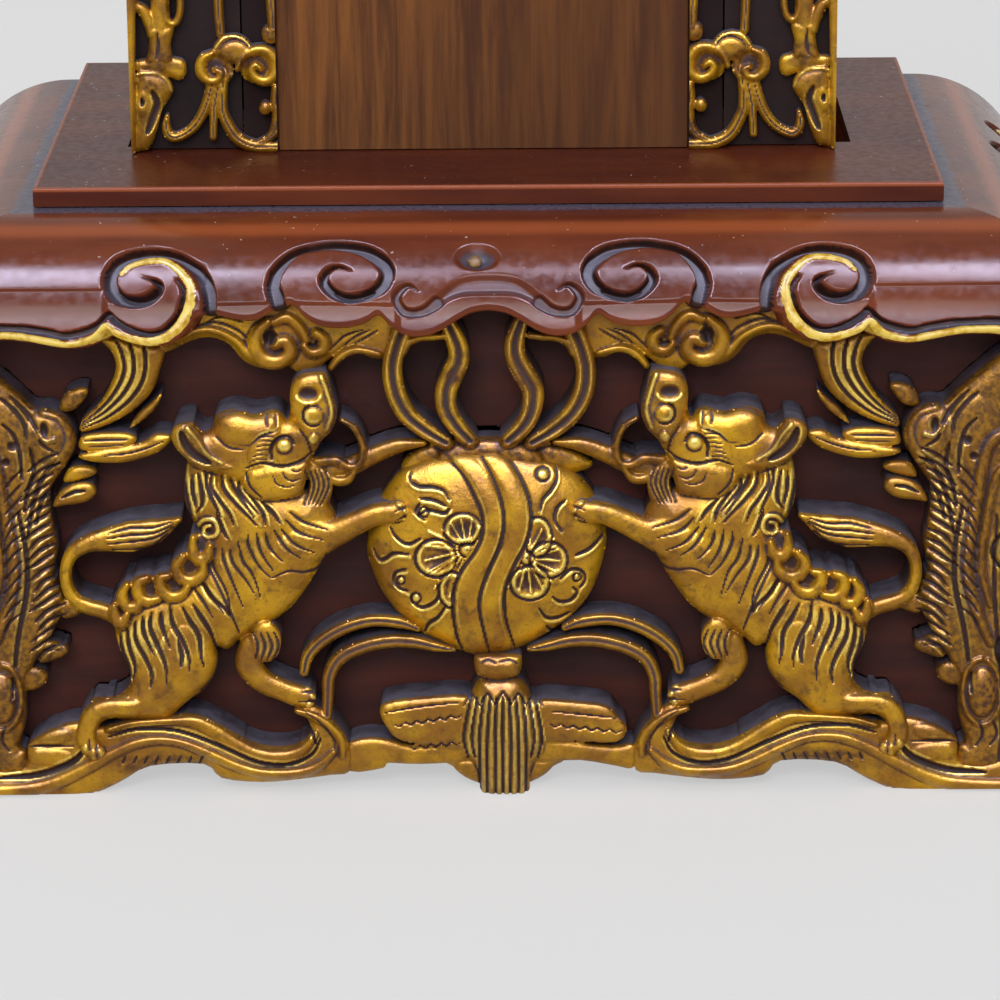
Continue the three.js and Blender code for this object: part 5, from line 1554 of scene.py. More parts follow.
TIER_LAP = 2.0
RIM = 1.4
BOARD_THICK = 14.0
BOARD_UNDERSIDE = SHOULDER - BOARD_THICK
HALF_LENGTH = (BASE_BACK - TOP_LOW[1]) / 2
SIDE_MIDDLE = (BASE_BACK + TOP_LOW[1]) / 2
SIDE_SQUEEZE = (TIER_HALF + OVERHANG) / HALF_LENGTH
OUTER_GROOVE_PX = (
    (207, 314), (208, 298), (205, 284), (198, 271), (187, 262), (175, 255), (159, 252), (142, 253),
    (126, 258), (115, 265), (109, 276), (109, 287), (115, 297), (125, 301), (136, 302), (147, 299),
    (156, 292), (158, 285), (153, 280), (142, 276),
)
OUTER_GROOVE_HALF = (7, 8, 8, 7, 6, 5, 5.5, 6, 7.5, 8, 8, 8, 7, 6.5, 6.5, 7, 6, 5, 3, 1)
GILT_LINE_PX = (
    (122, 274), (129, 267), (140, 263), (154, 261), (166, 262), (176, 268), (184, 276), (190, 285),
    (191, 296), (189, 306), (184, 317), (178, 327), (169, 335), (159, 340), (147, 342), (136, 340),
    (125, 337), (115, 333), (105, 326), (97, 334), (86, 341), (66, 345), (42, 341), (20, 337), (0, 336),
    (-30, 337), (-60, 345), (-101, 335), (-116, 331),
)
GILT_LINE_HALF = (
    2, 2.6, 2.8, 3, 3.4, 4, 4.4, 5, 5, 4.8, 4.6, 4.2, 4, 3.8, 3.6, 3.6, 3.6, 3.6, 3.6, 3.8, 4, 4.2, 4,
)
HOLLOW_PX = (
    (176, 279), (182, 288), (182, 299), (178, 313), (169, 325), (159, 332), (146, 334), (133, 331),
    (122, 326), (113, 320), (106, 314), (97, 324), (84, 331), (62, 336), (42, 332), (20, 329), (0, 328),
    (-30, 328), (-60, 336), (-101, 326), (-116, 322),
)
HOLLOW_HALF = (2, 3, 3.4, 3.4, 3.4, 3.6, 4, 4, 4, 4, 4.5, 5, 5, 5, 5, 5, 5, 5, 5)
INNER_GROOVE_PX = (
    (278, 311), (275, 296), (272, 285), (275, 273), (285, 260), (298, 251), (315, 247), (333, 245),
    (353, 247), (369, 252), (382, 261), (387, 271), (383, 283), (373, 292), (359, 297), (346, 298),
    (333, 293), (324, 283), (324, 275), (330, 268), (340, 266), (351, 270),
)
INNER_GROOVE_HALF = (8, 9, 8, 7.5, 6, 4.6, 4.6, 5, 6, 7.5, 8, 8, 7.5, 6.6, 6, 6, 6, 6, 5, 3.6, 2.5, 1.3)
MOUSTACHE_PX = (
    (418, 291), (409, 285), (401, 289), (396, 297), (399, 306), (405, 312), (415, 313), (426, 310),
    (437, 302), (449, 293), (462, 287), (479, 285), (500, 285),
)
MOUSTACHE_HALF = (1.3, 3, 4.6, 5.3, 5.6, 5.8, 5.6, 6.3, 7.8, 9.5, 11.5, 12.5, 12.5)
MOUSTACHE_HEAD = 9
# The dark paint in the moulding's channels is painted shade and dirt
MOULDING_STROKES = (
    ("dome", (132, 281), (14, 13), 1.1),
    ("channel", OUTER_GROOVE_PX, OUTER_GROOVE_HALF, 2.4, 0.85),
    ("groove", ((117, 288), (122, 296), (134, 299), (147, 295), (155, 287)), 5, 0.7),
    ("channel", HOLLOW_PX, HOLLOW_HALF, 1.6, 0.85, 2.4),
    ("gild", GILT_LINE_PX, GILT_LINE_HALF, 0.25),
    ("channel", INNER_GROOVE_PX, INNER_GROOVE_HALF, 2.1, 0.85),
    ("groove", ((372, 290), (358, 295), (345, 296), (334, 291)), 4, 0.6),
    ("channel", MOUSTACHE_PX[:MOUSTACHE_HEAD], MOUSTACHE_HALF[:MOUSTACHE_HEAD], 1.2, 0.6),
    ("channel", MOUSTACHE_PX, MOUSTACHE_HALF, 0.9, 0.42, 9.0),
)
# The seat's dark paint is painted shade and dirt round the nail
NAIL_SEAT_STROKES = (("dome", (477, 257), (23, 13.6), -2.2, 1.0),)

# The step above the lower band, and the low ridge along it
CREASE_X_PX = (-120, 100, 210, 285, 310, 400)
CREASE_Y_PX = (289, 288, 303, 301, 302, 303)
CREASED_X_PX = (100, 108, 204, 210, 394, 401)
CREASED_SHARES = (1, 0, 0, 1, 1, 0)
CREASE_DROP, CREASE_DROP_PX = 0.5, 2.5
CREASE_LIFT, CREASE_LIFT_PX, CREASE_LIFT_HALF_PX = 0.25, 1.5, 3

# Rows lie closer together on the flat, and columns stand evenly; three rows more close the sheet behind
SPARSE_ROW_SHARES = (0, 0.16, 1)
SPARSE_LENGTH_SHARES = (0, 0.4, 1)
FRONT_ROWS, FRONT_COLUMNS = 118, 740
SIDE_ROWS, SIDE_COLUMNS = 96, 420
ROWS_BEHIND = 3
END_ROUNDS = 3
ONE_PX = 1.0

# Painted shade on the underside, dust, and wear, which on the rubbed band is also a painted highlight, in mm
# and shares
UNDERSIDE_SHADE = 0.6
DUST_PAST_FLAT, DUST_FADE = 1.8, 3.2
DUST_DEEP = 0.4
LIT_RUBBED_DOWN, LIT_RUBBED_HALF, LIT_RUBBED = 13.5, 3.2, 0.75
RUBBED_EDGE_HALF, RUBBED_EDGE = 1.2, 0.5
UNPAINTED = 0.1


def draw_moulding(relief):
    """The step, spirals, gilt line and lower band of the moulding, all on its left half."""
    below = relief.z - np.interp(relief.x, CREASE_X_PX, CREASE_Y_PX)
    creased = np.interp(relief.x, CREASED_X_PX, CREASED_SHARES)
    relief.detail -= CREASE_DROP * creased * np.clip(below / CREASE_DROP_PX, 0, 1)
    away = np.abs(below + CREASE_LIFT_PX)
    relief.detail += CREASE_LIFT * creased * np.clip(1 - away / CREASE_LIFT_HALF_PX, 0, 1)
    carve(relief, 0, MOULDING_STROKES)


def same(points):
    return np.asarray(points, float)


def pixel_relief(x, y, height):
    """A relief over places on the moulding, drawn where the camera sees them."""
    return Relief(*to_pixels(x, y, height), ONE_PX, same, ONE_PX)


def paint_moulding(mesh, relief, down, end):
    """Stores where the moulding is cut in, with painted shade and dirt there and on its underside, where it
    is dusty, where it is rubbed, which on the band is also a painted highlight, and where it is gilt.
    """
    behind = np.zeros((len(down), ROWS_BEHIND))
    dust = np.clip((MOULDING_FLAT + DUST_PAST_FLAT - down) / DUST_FADE, 0, 1)
    # The rubbed band where the moulding turns to the front is also a painted highlight
    rubbed = LIT_RUBBED * np.exp(-(((down - LIT_RUBBED_DOWN) / LIT_RUBBED_HALF) ** 2))
    rubbed = rubbed + RUBBED_EDGE * np.clip(1 - (end - down) / RUBBED_EDGE_HALF, 0, 1)
    values = {
        "shade_and_dirt": (np.maximum(relief.paint, DUST_DEEP * dust), behind + UNDERSIDE_SHADE),
        "dust": (dust, behind),
        "highlight_and_wear": (rubbed * (relief.paint < UNPAINTED), behind),
        "gold": (relief.gold, behind),
    }
    for name, parts in values.items():
        set_values(mesh, name, np.hstack(parts).ravel())


def moulding_sheet(name, spot, twin, rows, columns, seat=False):
    """A length of the moulding with its lip; twin gives the place on the left half that it repeats."""
    u = np.repeat(np.linspace(0, 1, columns)[:, None], rows, 1)
    v = np.interp(np.linspace(0, 1, rows), SPARSE_ROW_SHARES, SPARSE_LENGTH_SHARES)
    end = np.full((columns, 1), LIP_EDGE[:, 1].mean())
    for _ in range(END_ROUNDS):
        end = lip_end(twin(*spot(u[:, :1], moulding_profile(end)[0])))
    down = v * (end + TIER_LAP) - TIER_LAP
    reach, height, angle = moulding_profile(down)
    x, y = spot(u, reach)
    relief = pixel_relief(-np.abs(twin(x, y)), TIER_FRONT - reach, height)
    draw_moulding(relief)
    if seat:
        own = pixel_relief(x, y, height)
        carve(own, 0, NAIL_SEAT_STROKES)
        relief.detail += own.detail
        relief.paint = np.maximum(relief.paint, own.paint)
    lift = relief.detail - RIM * (1 - round_over((end - down) / RIM))
    reach = reach + lift * np.sin(angle)
    height = height + lift * np.cos(angle)

    # From the lip's edge across its thickness, up its inner side, and back under the tier
    level = np.ones((columns, 1))
    reach = np.hstack([reach, reach[:, -1:] - LIP_THICKNESS, LIP_INNER * level, -TIER_LAP * level])
    height = np.hstack([height, height[:, -1:], BOARD_UNDERSIDE * level, BOARD_UNDERSIDE * level])
    x, y = spot(np.hstack([u, u[:, :ROWS_BEHIND]]), reach)
    spots = np.stack([x, y, height], -1).reshape(-1, 3) * MM
    index = np.arange(reach.size).reshape(reach.shape)
    turned = np.roll(index, -1, 1)
    faces = np.stack([index[:-1], index[1:], turned[1:], turned[:-1]], -1)
    outer = faces[:, : rows - 1].reshape(-1, 4)
    inner = faces[:, rows - 1 :].reshape(-1, 4)
    caps = [index[0].tolist(), index[-1, ::-1].tolist()]
    mesh = bpy.data.meshes.new(name)
    mesh.from_pydata(spots.tolist(), [], outer.tolist() + inner.tolist() + caps)
    mesh.polygons.foreach_set("use_smooth", np.arange(len(mesh.polygons)) < len(outer))
    paint_moulding(mesh, relief, down, end)
    make_solid(mesh)
    return mesh


def front_spot(u, reach):
    return (2 * u - 1) * (TIER_HALF + reach), TIER_FRONT - reach


def front_twin(x, y):
    return x


def side_spot(side):
    def spot(u, reach):
        front = TIER_FRONT - reach
        return side * (TIER_HALF + reach), front + u * (BASE_BACK - front)
    return spot


def side_twin(x, y):
    return (y - SIDE_MIDDLE) * SIDE_SQUEEZE


MORTISE_LOW = (-82.25, -10.406)
MORTISE_HIGH = (82.25, 35.194)
TIER_ROUND = 0.55
ARRIS_STEPS = 4
CORNERS = 4


def board_loops(low, high, round_off):
    """Inset, height and wear of each loop round the outside of a board; on the rounded arris the wear is also
    a painted highlight.
    """
    loops = [(0, low, 0), (0, high - 2 * round_off, 0)]
    if round_off:
        for turn in np.linspace(0, math.pi / 2, ARRIS_STEPS + 1):
            inset, drop = round_off * (1 - math.cos(turn)), round_off * (1 - math.sin(turn))
            loops.append((inset, high - drop, 1))
        loops.append((2 * round_off, high, 0))
    return loops


def rectangle(low, high, z):
    return [(low[0], low[1], z), (high[0], low[1], z), (high[0], high[1], z), (low[0], high[1], z)]


def holed_board(name, low, high, material, round_off=0.0):
    """A board with the mortise through it, its upper outer arris rounded."""
    spots, highlight_and_wear = [], []
    for inset, z, lit_rub in board_loops(low[2], high[2], round_off):
        spots += rectangle(np.add(low, inset), np.subtract(high, inset), z)
        highlight_and_wear += [lit_rub] * CORNERS
    for z in (high[2], low[2]):
        spots += rectangle(MORTISE_LOW, MORTISE_HIGH, z)
        highlight_and_wear += [0] * CORNERS
    index = np.arange(len(spots)).reshape(-1, CORNERS)
    after = np.roll(index, -1, 0)
    faces = np.stack([index, np.roll(index, -1, 1), np.roll(after, -1, 1), after], -1).reshape(-1, 4)
    mesh = bpy.data.meshes.new(name)
    mesh.from_pydata((np.array(spots) * MM).tolist(), [], faces.tolist())
    set_values(mesh, "highlight_and_wear", highlight_and_wear)
    make_solid(mesh)
    return make_object(name, mesh, material, "base")


# Nail: where the photograph shows it, and its size
NAIL_PX = (475, 258)
NAIL_SEGMENTS, NAIL_RINGS = 28, 16
NAIL_RADIUS = 1.45
NAIL_DOME, NAIL_SHANK, NAIL_SUNK = 0.8, 1.6, 1.2
NAIL_LUMPS = ((0.05, 5, 3, 0), (0.04, 0, 7, math.pi / 2))


def nail_mesh(name):
    """A domed nail head, sunk in its seat, with the top of its shank."""
    (across, down), = on_moulding([NAIL_PX])
    reach, height, angle = moulding_profile(down)
    seat = Vector((across, TIER_FRONT - reach, height)) * MM
    net = bmesh.new()
    bmesh.ops.create_uvsphere(net, u_segments=NAIL_SEGMENTS, v_segments=NAIL_RINGS, radius=1)
    for vertex in net.verts:
        x, y, z = vertex.co
        lumps = sum(lump * math.sin(a * x + b * y + turn) for lump, a, b, turn in NAIL_LUMPS)
        wide = NAIL_RADIUS * (1 + lumps)
        tall = NAIL_DOME if z > 0 else NAIL_SHANK
        vertex.co = Vector((wide * x, wide * y, tall * z - NAIL_SUNK)) * MM
    mesh = bpy.data.meshes.new(name)
    net.to_mesh(mesh)
    net.free()
    mesh.transform(Matrix.Translation(seat) @ Matrix.Rotation(angle, 4, "X"))
    mesh.polygons.foreach_set("use_smooth", np.ones(len(mesh.polygons), bool))
    return mesh


sheet = moulding_sheet("lip_front", front_spot, front_twin, FRONT_ROWS, FRONT_COLUMNS, True)
front_lip = make_object("lip_front", sheet, LACQUER, "base")
for side, word in ((-1, "left"), (1, "right")):
    sheet = moulding_sheet("lip_" + word, side_spot(side), side_twin, SIDE_ROWS, SIDE_COLUMNS)
    make_object("lip_" + word, sheet, LACQUER, "base")
core_low = (TIER_LAP - TIER_HALF, TIER_FRONT + TIER_LAP, BOARD_UNDERSIDE)
core_high = (TIER_HALF - TIER_LAP, BASE_BACK, SHOULDER)
holed_board("top_board_core", core_low, core_high, LACQUER)
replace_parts(front_lip, "base_top_board")
tier = holed_board("tier", TIER_LOW, TIER_HIGH, SHADED_TIER_LACQUER, TIER_ROUND)
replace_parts(tier, "tier_plate")
nail = make_object("nail", nail_mesh("nail"), BRASS, "base")
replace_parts(nail, "lip_nail")


# Openwork strips of the tablet: one motif, where the photograph shows the lowest one, and more above it

STRIP_REACH = TIER_FRONT - STRIP_LOW[1]
STRIP_BACK = TIER_FRONT - STRIP_HIGH[1]
STRIP_DROP = 0.6
STRIP_FACE = STRIP_REACH - STRIP_DROP
STRIP_MOTIFS = 4
MOTIF_HEIGHT = (STRIP_HIGH[2] - STRIP_LOW[2]) / STRIP_MOTIFS
MOTIF_SQUEEZE = 0.978
STRIP_DULL = 0.12
STRIP_BANDS_PX = (
    (((212, 84), (207, 103), (200, 119), (190, 131), (177, 138), (169, 136), (166, 127), (167, 117)), (6, 6,
        5.5, 5, 5, 5, 4.5, 2.5)),
    (((223, 82), (222, 109), (227, 124), (236, 138), (250, 146), (268, 148), (284, 147)), (5, 5.5, 6, 6.5,
        6.5, 6, 5)),
    (((218, 86), (214, 109), (213, 138)), (5, 4.5, 4)),
    (((275, 88), (276, 100), (278, 115), (276, 128), (270, 138), (258, 144)), (4, 6, 6.5, 6, 4.5, 3)),
    (((221, -30), (218, 0), (220, 34)), (4.5, 5, 4.5)),
    (((268, -40), (271, 0), (273, 30)), (5, 5.5, 5.5)),
    (((166, -60), (160, -20), (160, 30), (158, 66)), (8, 9, 10, 12)),
    (((134, 5), (143, 12), (149, 24), (151, 36)), (4, 6, 6, 4)),
    (((221, -30), (232, -60), (222, -100), (238, -140), (226, -190)), (4, 4.5, 5, 4.5, 4)),
    (((268, -40), (272, -90), (266, -130), (273, -190)), (4.5, 5, 5, 4.5)),
    (((150, -190), (140, -160), (156, -120), (170, -90), (166, -60)), (5, 7, 8, 8, 8)),
    (((170, -92), (190, -112), (214, -112), (222, -100)), (5, 4, 4, 4)),
    (((268, -128), (254, -142), (240, -140)), (4, 4, 4)),
)
VEINED_BANDS = 6
STRIP_CURLS_PX = ((152, -150, 17), (182, -40, 13), (246, -128, 12), (244, -40, 13), (196, -112, 11))
STRIP_STROKES = (
    *(("band", points, half, -0.3, 1.6) for points, half in STRIP_BANDS_PX),
    *(("band", ("curl", (x, y), size, 120, 1.25, 0.3, 16), 4.2, 0, 1.5) for x, y, size in STRIP_CURLS_PX),
    ("form", ((136, 62), (150, 60), (170, 58), (184, 62), (186, 74), (180, 81), (170, 78), (150, 72),
        (137, 72)), -0.8, 1.6, 1.2),
    ("form", ((147, 28), (172, 28), (170, 46), (171, 64), (146, 64), (151, 44)), -0.2, 2.0, 1.5),
    ("form", ((136, 74), (146, 71), (160, 74), (169, 80), (173, 91), (168, 101), (162, 110), (159, 122),
        (156, 134), (150, 148), (142, 151), (134, 146)), 0, 3, 1.8),
    ("form", ("arc", (143, 105), (7, 15), 0, 330, 10), 0.3, 2, 1.0),
    ("dome", (142, 103), (2.6, 5.5), -1.6, 1.0),
    ("groove", ((152, 92), (157, 104), (152, 120), (147, 134)), 5, 1.3, 0.8),
    ("ridge", ((137, 75), (147, 73), (161, 76), (169, 83), (172, 92)), 2.2, 0.5, 0.9),
    ("band", ("arc", (172, 7), (8, 18), -80, 260, 12), 3.6, 0.1, 1.2),
    ("groove", ((157, 34), (158, 48), (156, 60)), 2.2, 0.8),
    ("form", ((212, 50), (218, 40), (231, 35), (244, 38), (252, 48), (248, 58), (232, 64), (216, 58)), -0.4,
        3, 1.6),
    ("ridge", ((215, 48), (222, 39), (232, 36), (243, 40), (250, 48)), 2.2, 0.5, 1.0),
    ("form", ((219, 54), (222, 46), (234, 42), (246, 46), (250, 53), (242, 60), (234, 63), (225, 60)), 0.3,
        1.6, 0.9),
    ("groove", ((218, 52), (224, 44), (234, 40), (244, 43), (250, 51)), 1.5, 0.6),
    ("form", ("arc", (214, 68), (15, 14), 0, 330, 12), -1.4, 2, 1.2),
    ("dome", (214, 68), (15, 14), 0.01, 1.0),
    ("form", ("arc", (257, 67), (18, 17), 0, 330, 12), -1.4, 2, 1.2),
    ("dome", (257, 67), (18, 17), 0.01, 1.0),
    ("band", ((212, 54), (203, 59), (200, 67), (202, 76), (210, 82), (218, 80), (221, 74), (216, 71)), (3,
        5, 5.5, 5.5, 5, 4.5, 4, 3), 0.5, 1.6),
    ("form", ((222, 56), (231, 62), (233, 74), (227, 84), (221, 84), (226, 70)), -0.4, 2, 1.0),
    ("band", ((237, 70), (242, 58), (254, 51), (267, 52), (275, 62), (275, 74), (266, 82), (256, 79),
        (251, 71), (255, 66), (260, 69)), (3, 4, 5, 5.5, 6, 6, 5.5, 5, 4.5, 4, 3), 0.6, 1.6),
    ("dome", (234, 76), (4, 4), 0.8),
    ("form", ("arc", (265, 109), (6, 6.5), 0, 330, 10), 0.1, 2, 1.2),
    ("form", ((262, 30), (272, 26), (277, 36), (274, 44), (264, 42)), -0.4, 2, 1.2),
    *(("groove", points, 1.1, 0.5, 0.8) for points, _ in STRIP_BANDS_PX[:VEINED_BANDS]),
    ("tarnish", (225, 66), (14, 22), 0.9),
    ("tarnish", (243, 62), (12, 12), 0.9),
    ("tarnish", (269, 34), (12, 14), 0.9),
    ("tarnish", (160, 58), (22, 20), 0.9),
    ("tarnish", (151, 84), (20, 14), 0.9),
    ("tarnish", (272, 132), (12, 16), 0.9),
)
STRIP_EDGE_STROKES = (
    ("form", ((120, 200), (134.5, 200), (137, -1500), (119, -1500)), STRIP_DROP, 1.0, 0.8, 0, 1),
)


def strip_plane(points):
    return on_upright(points, STRIP_LOW[1])


def draw_strip(relief):
    relief.dull[:] = STRIP_DULL
    for motif in range(STRIP_MOTIFS):
        carve(relief, STRIP_FACE, STRIP_STROKES, (0, -motif * MOTIF_HEIGHT / PX * MOTIF_SQUEEZE))
    carve(relief, STRIP_FACE, STRIP_EDGE_STROKES)


def strip_limit(relief):
    low, high = (STRIP_LOW[0], STRIP_LOW[2]), (STRIP_HIGH[0], STRIP_HIGH[2])
    end_at(relief, relief.x - low[0], high[0] - relief.x, relief.z - low[1], high[1] - relief.z)


def add_strips():
    low, high = (STRIP_LOW[0], STRIP_LOW[2]), (STRIP_HIGH[0] + CELL, STRIP_HIGH[2])
    relief = flat_relief(low, high, CELL, strip_plane, PX)
    relief.plane = STRIP_FACE
    mesh = relief_mesh("strip_left", relief, draw_strip, flat_back(STRIP_BACK), front_place, strip_limit)
    other = mirrored_mesh(mesh, "strip_right")
    other.transform(Matrix.Translation(Vector((2 * MM * CASE_SHIFT, 0, 0))))
    for piece, node in ((mesh, "left_pierced_strip"), (other, "right_pierced_strip")):
        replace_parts(make_object(piece.name, piece, GILDING, "tablet"), node)


add_strips()


# Crest, in shares of its half width and its height

CREST_CELL = 0.6
CREST_HALF = (CREST_HIGH[0] - CREST_LOW[0]) / 2
CREST_TALL = CREST_HIGH[2] - CREST_LOW[2]
CREST_REACH = TIER_FRONT - CREST_LOW[1]
CREST_BACK = TIER_FRONT - CREST_HIGH[1]
CREST_CARVING_DROP = 0.7
CREST_CARVING_FACE = TIER_FRONT - CREST_CARVING_LOW[1] - CREST_CARVING_DROP
CREST_CARVING_BACK = TIER_FRONT - CREST_CARVING_HIGH[1]
PANEL_GAP = 0.4
PANEL_SIDE_GAP = 0.6
CHANNEL_HALF = CASE_SHIFT - STRIP_HIGH[0] + PANEL_SIDE_GAP
PANEL_REACH = TIER_FRONT - PANEL_LOW[1] + PANEL_GAP
CREST_EDGE_SHARES = (
    (0, 1), (0.14, 0.985), (0.28, 0.93), (0.4, 0.82), (0.46, 0.74), (0.56, 0.8), (0.68, 0.79), (0.78, 0.7),
    (0.8, 0.58), (0.76, 0.5), (0.86, 0.52), (0.97, 0.44), (1, 0.3), (0.95, 0.16), (0.86, 0.08), (0.84, 0),
)
CREST_BAND_SHARES = (
    (((0, 0.12), (0.2, 0.16), (0.42, 0.26), (0.6, 0.2), (0.8, 0.22)), (0.07, 0.07, 0.06, 0.06, 0.04)),
    (((0.42, 0.26), (0.56, 0.42), (0.62, 0.6), (0.52, 0.66), (0.46, 0.56)), (0.06, 0.06, 0.05, 0.05, 0.04)),
    (((0.6, 0.24), (0.74, 0.36), (0.88, 0.36), (0.88, 0.24), (0.8, 0.22)), (0.05, 0.05, 0.05, 0.05, 0.04)),
    (((0, 0.36), (0.14, 0.5), (0.26, 0.62), (0.2, 0.76), (0.06, 0.88)), (0.05, 0.05, 0.05, 0.04, 0.03)),
    (((0.1, 0.16), (0.14, 0.34), (0.08, 0.44)), (0.05, 0.05, 0.04)),
)
CREST_CURL_SHARES = (((0.5, 0.6), 0.09), ((0.84, 0.29), 0.08), ((0.2, 0.7), 0.06))
CREST_CURL = (200, 1.2, 0.3)
CREST_LINE_SHARES = ((0.94, 0), (0.93, 0.03))
ROSE_SHARES = (0, 0.56)
ROSE_RAYS = 12
ROSE_RAY_SHARES = (0.05, 0.08, 0.12)
ROSE_STRETCH = (1, 1.14)


def crest_plane(points):
    points = np.asarray(points, float)
    return np.stack((CASE_SHIFT + points[:, 0] * CREST_HALF, CREST_LOW[2] + points[:, 1] * CREST_TALL), 1)


def both_ways(shares, width=0):
    """A line and its mirror image, as a place in a table of strokes."""
    return ("lines", (shares, [(width - x, z) for x, z in shares]))


def inner_line(shares):
    """The crest's outline, moved in."""
    (narrow, aside), (flat, up) = CREST_LINE_SHARES
    return [(aside + narrow * x, up + flat * z) for x, z in shares]


def turned_out(centre, angle, reaches, stretch):
    """Places at these reaches from a centre, one way out."""
    way = np.array((math.cos(angle), math.sin(angle))) * stretch
    return (np.array(centre) + np.outer(reaches, way)).tolist()


CREST_OUTLINE = (*CREST_EDGE_SHARES, *[(-x, z) for x, z in CREST_EDGE_SHARES[:0:-1]])
CREST_STROKES = (
    ("form", CREST_OUTLINE, 0, 1.6, 1.2, 0, 1),
    ("groove", both_ways(inner_line(CREST_EDGE_SHARES)), 0.012, 0.6, 0.9, 2, 1.0),
)
CREST_CARVING_STROKES = (
    *(("band", both_ways(shares), half, 0, 2.4, 0.6) for shares, half in CREST_BAND_SHARES),
    *(("groove", both_ways(curl(*row, *CREST_CURL)), 0.014, 0.7) for row in CREST_CURL_SHARES),
    ("form", ("arc", ROSE_SHARES, (0.175, 0.2), 0, 345, 24), 0.6, 12, 3.2),
    ("groove", ("arc", ROSE_SHARES, (0.13, 0.15), 0, 360, 24), 0.012, 0.5, 0.9, 2, 1.0),
    *(
        ("groove", turned_out(ROSE_SHARES, 2 * math.pi * ray / ROSE_RAYS, ROSE_RAY_SHARES, ROSE_STRETCH),
            0.01, 0.4)
        for ray in range(ROSE_RAYS)
    ),
)


def draw_crest_board(relief):
    carve(relief, CREST_REACH, CREST_STROKES)


def draw_crest_carving(relief):
    carve(relief, CREST_CARVING_FACE, CREST_CARVING_STROKES)


def crest_limit(relief):
    end_at(relief, relief.z - CREST_LOW[2], CREST_HIGH[2] - relief.z)


def crest_back(across):
    """The back of the crest, with the channel that the face panel slides up in."""
    return np.where(np.abs(across - CASE_SHIFT) < CHANNEL_HALF, PANEL_REACH, CREST_BACK)


def add_crest():
    low = (CREST_LOW[0] - CELL, CREST_LOW[2])
    high = (CREST_HIGH[0] + CELL, CREST_HIGH[2])
    board = flat_relief(low, high, CREST_CELL, crest_plane, CREST_TALL)
    mesh = relief_mesh("crest", board, draw_crest_board, crest_back, front_place, crest_limit)
    crest = make_object("crest", mesh, LACQUER, "tablet")
    low, high = CREST_CARVING_LOW[::2] - MARGIN, CREST_CARVING_HIGH[::2] + MARGIN
    carved, back = flat_relief(low, high, CELL, crest_plane, CREST_TALL), flat_back(CREST_CARVING_BACK)
    mesh = relief_mesh("crest_clouds", carved, draw_crest_carving, back, front_place, crest_limit)
    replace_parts(make_object("crest_clouds", mesh, GILDING, "tablet"), "crest_carving")
    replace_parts(crest, "crest_board")


add_crest()


# Side carvings: a cloud band, a scroll band, and a rosette between two scrolls, all in shares

SIDE_CELL = 0.47
SIDE_FRONT = TIER_FRONT - CARVING_REACH
SIDE_LENGTH = BASE_BACK - SIDE_FRONT
SIDE_TALL = TOP_LOW[2]
SIDE_BAND_SHARES = (
    (((0.02, 0.9), (0.16, 0.84), (0.3, 0.9), (0.5, 0.86), (0.7, 0.9), (0.84, 0.84), (0.98, 0.9)), (0.05,
        0.04, 0.05, 0.04, 0.05, 0.04, 0.05)),
    (((0.02, 0.07), (0.16, 0.05), (0.3, 0.14), (0.42, 0.17), (0.5, 0.07), (0.58, 0.17), (0.7, 0.14),
        (0.84, 0.05), (0.98, 0.07)), (0.06, 0.05, 0.04, 0.05, 0.07, 0.05, 0.04, 0.05, 0.06)),
    (((0.5, 0.12), (0.5, 0.5), (0.5, 0.86)), (0.03, 0.05, 0.03)),
)
SIDE_PAIR_SHARES = (
    (((0.1, 0.06), (0.16, 0.3), (0.1, 0.56), (0.18, 0.76), (0.28, 0.74), (0.31, 0.6), (0.25, 0.52)), (0.04,
        0.05, 0.05, 0.05, 0.05, 0.04, 0.03)),
    (((0.14, 0.3), (0.24, 0.26), (0.32, 0.36), (0.42, 0.42)), (0.05, 0.045, 0.035, 0.03)),
    (((0.05, 0.05), (0.04, 0.5), (0.05, 0.9)), (0.1, 0.05, 0.08)),
)
SIDE_BAND = (-4.0, 2.4, 0.7)

# Little cuts near both ends: how far out they stand, and their steps up
CUT_ENDS = (0.1, 0.9)
CUTS = 7
CUT_UP, CUT_STEP = 0.14, 0.1
CUT_SHARES = ((-0.06, -0.03), (-0.04, 0), (-0.06, 0.03))
CUT_BEND = 0.04
CUT = (0.01, 0.6)

# Rosette: petals round each ring, where their middles and cuts lie, in shares of its radius
ROSETTE = (0.5, 0.5)
ROSETTE_RADIUS = 0.13
ROSETTE_RADII = (ROSETTE_RADIUS, ROSETTE_RADIUS * SIDE_LENGTH / SIDE_TALL)
ROSETTE_RINGS = ((8, 0.31, (0.24, 0.43, 0.62)), (12, 0.64, (0.54, 0.76, 0.98)))
ROSETTE_PETAL = ((0.055, 0.055), 0.9)
ROSETTE_CUT = (0.012, 0.8)
ROSETTE_FORM = (0, 352, 40)
ROSETTE_EDGES = ((0.6, 30), (0.2, 20))
ROSETTE_EDGE_CUT = (0.012, 0.7, 1.0, 2, 1.0)


def side_plane(points):
    points = np.asarray(points, float)
    return np.stack((SIDE_FRONT + points[:, 0] * SIDE_LENGTH, points[:, 1] * SIDE_TALL), 1)


def side_cuts():
    strokes = []
    for end in CUT_ENDS:
        for step in range(CUTS):
            line = np.add((end, CUT_UP + CUT_STEP * step), CUT_SHARES)
            line[-1, 0] += CUT_BEND * (step % 2)
            strokes.append(("groove", line.tolist(), *CUT))
    return strokes


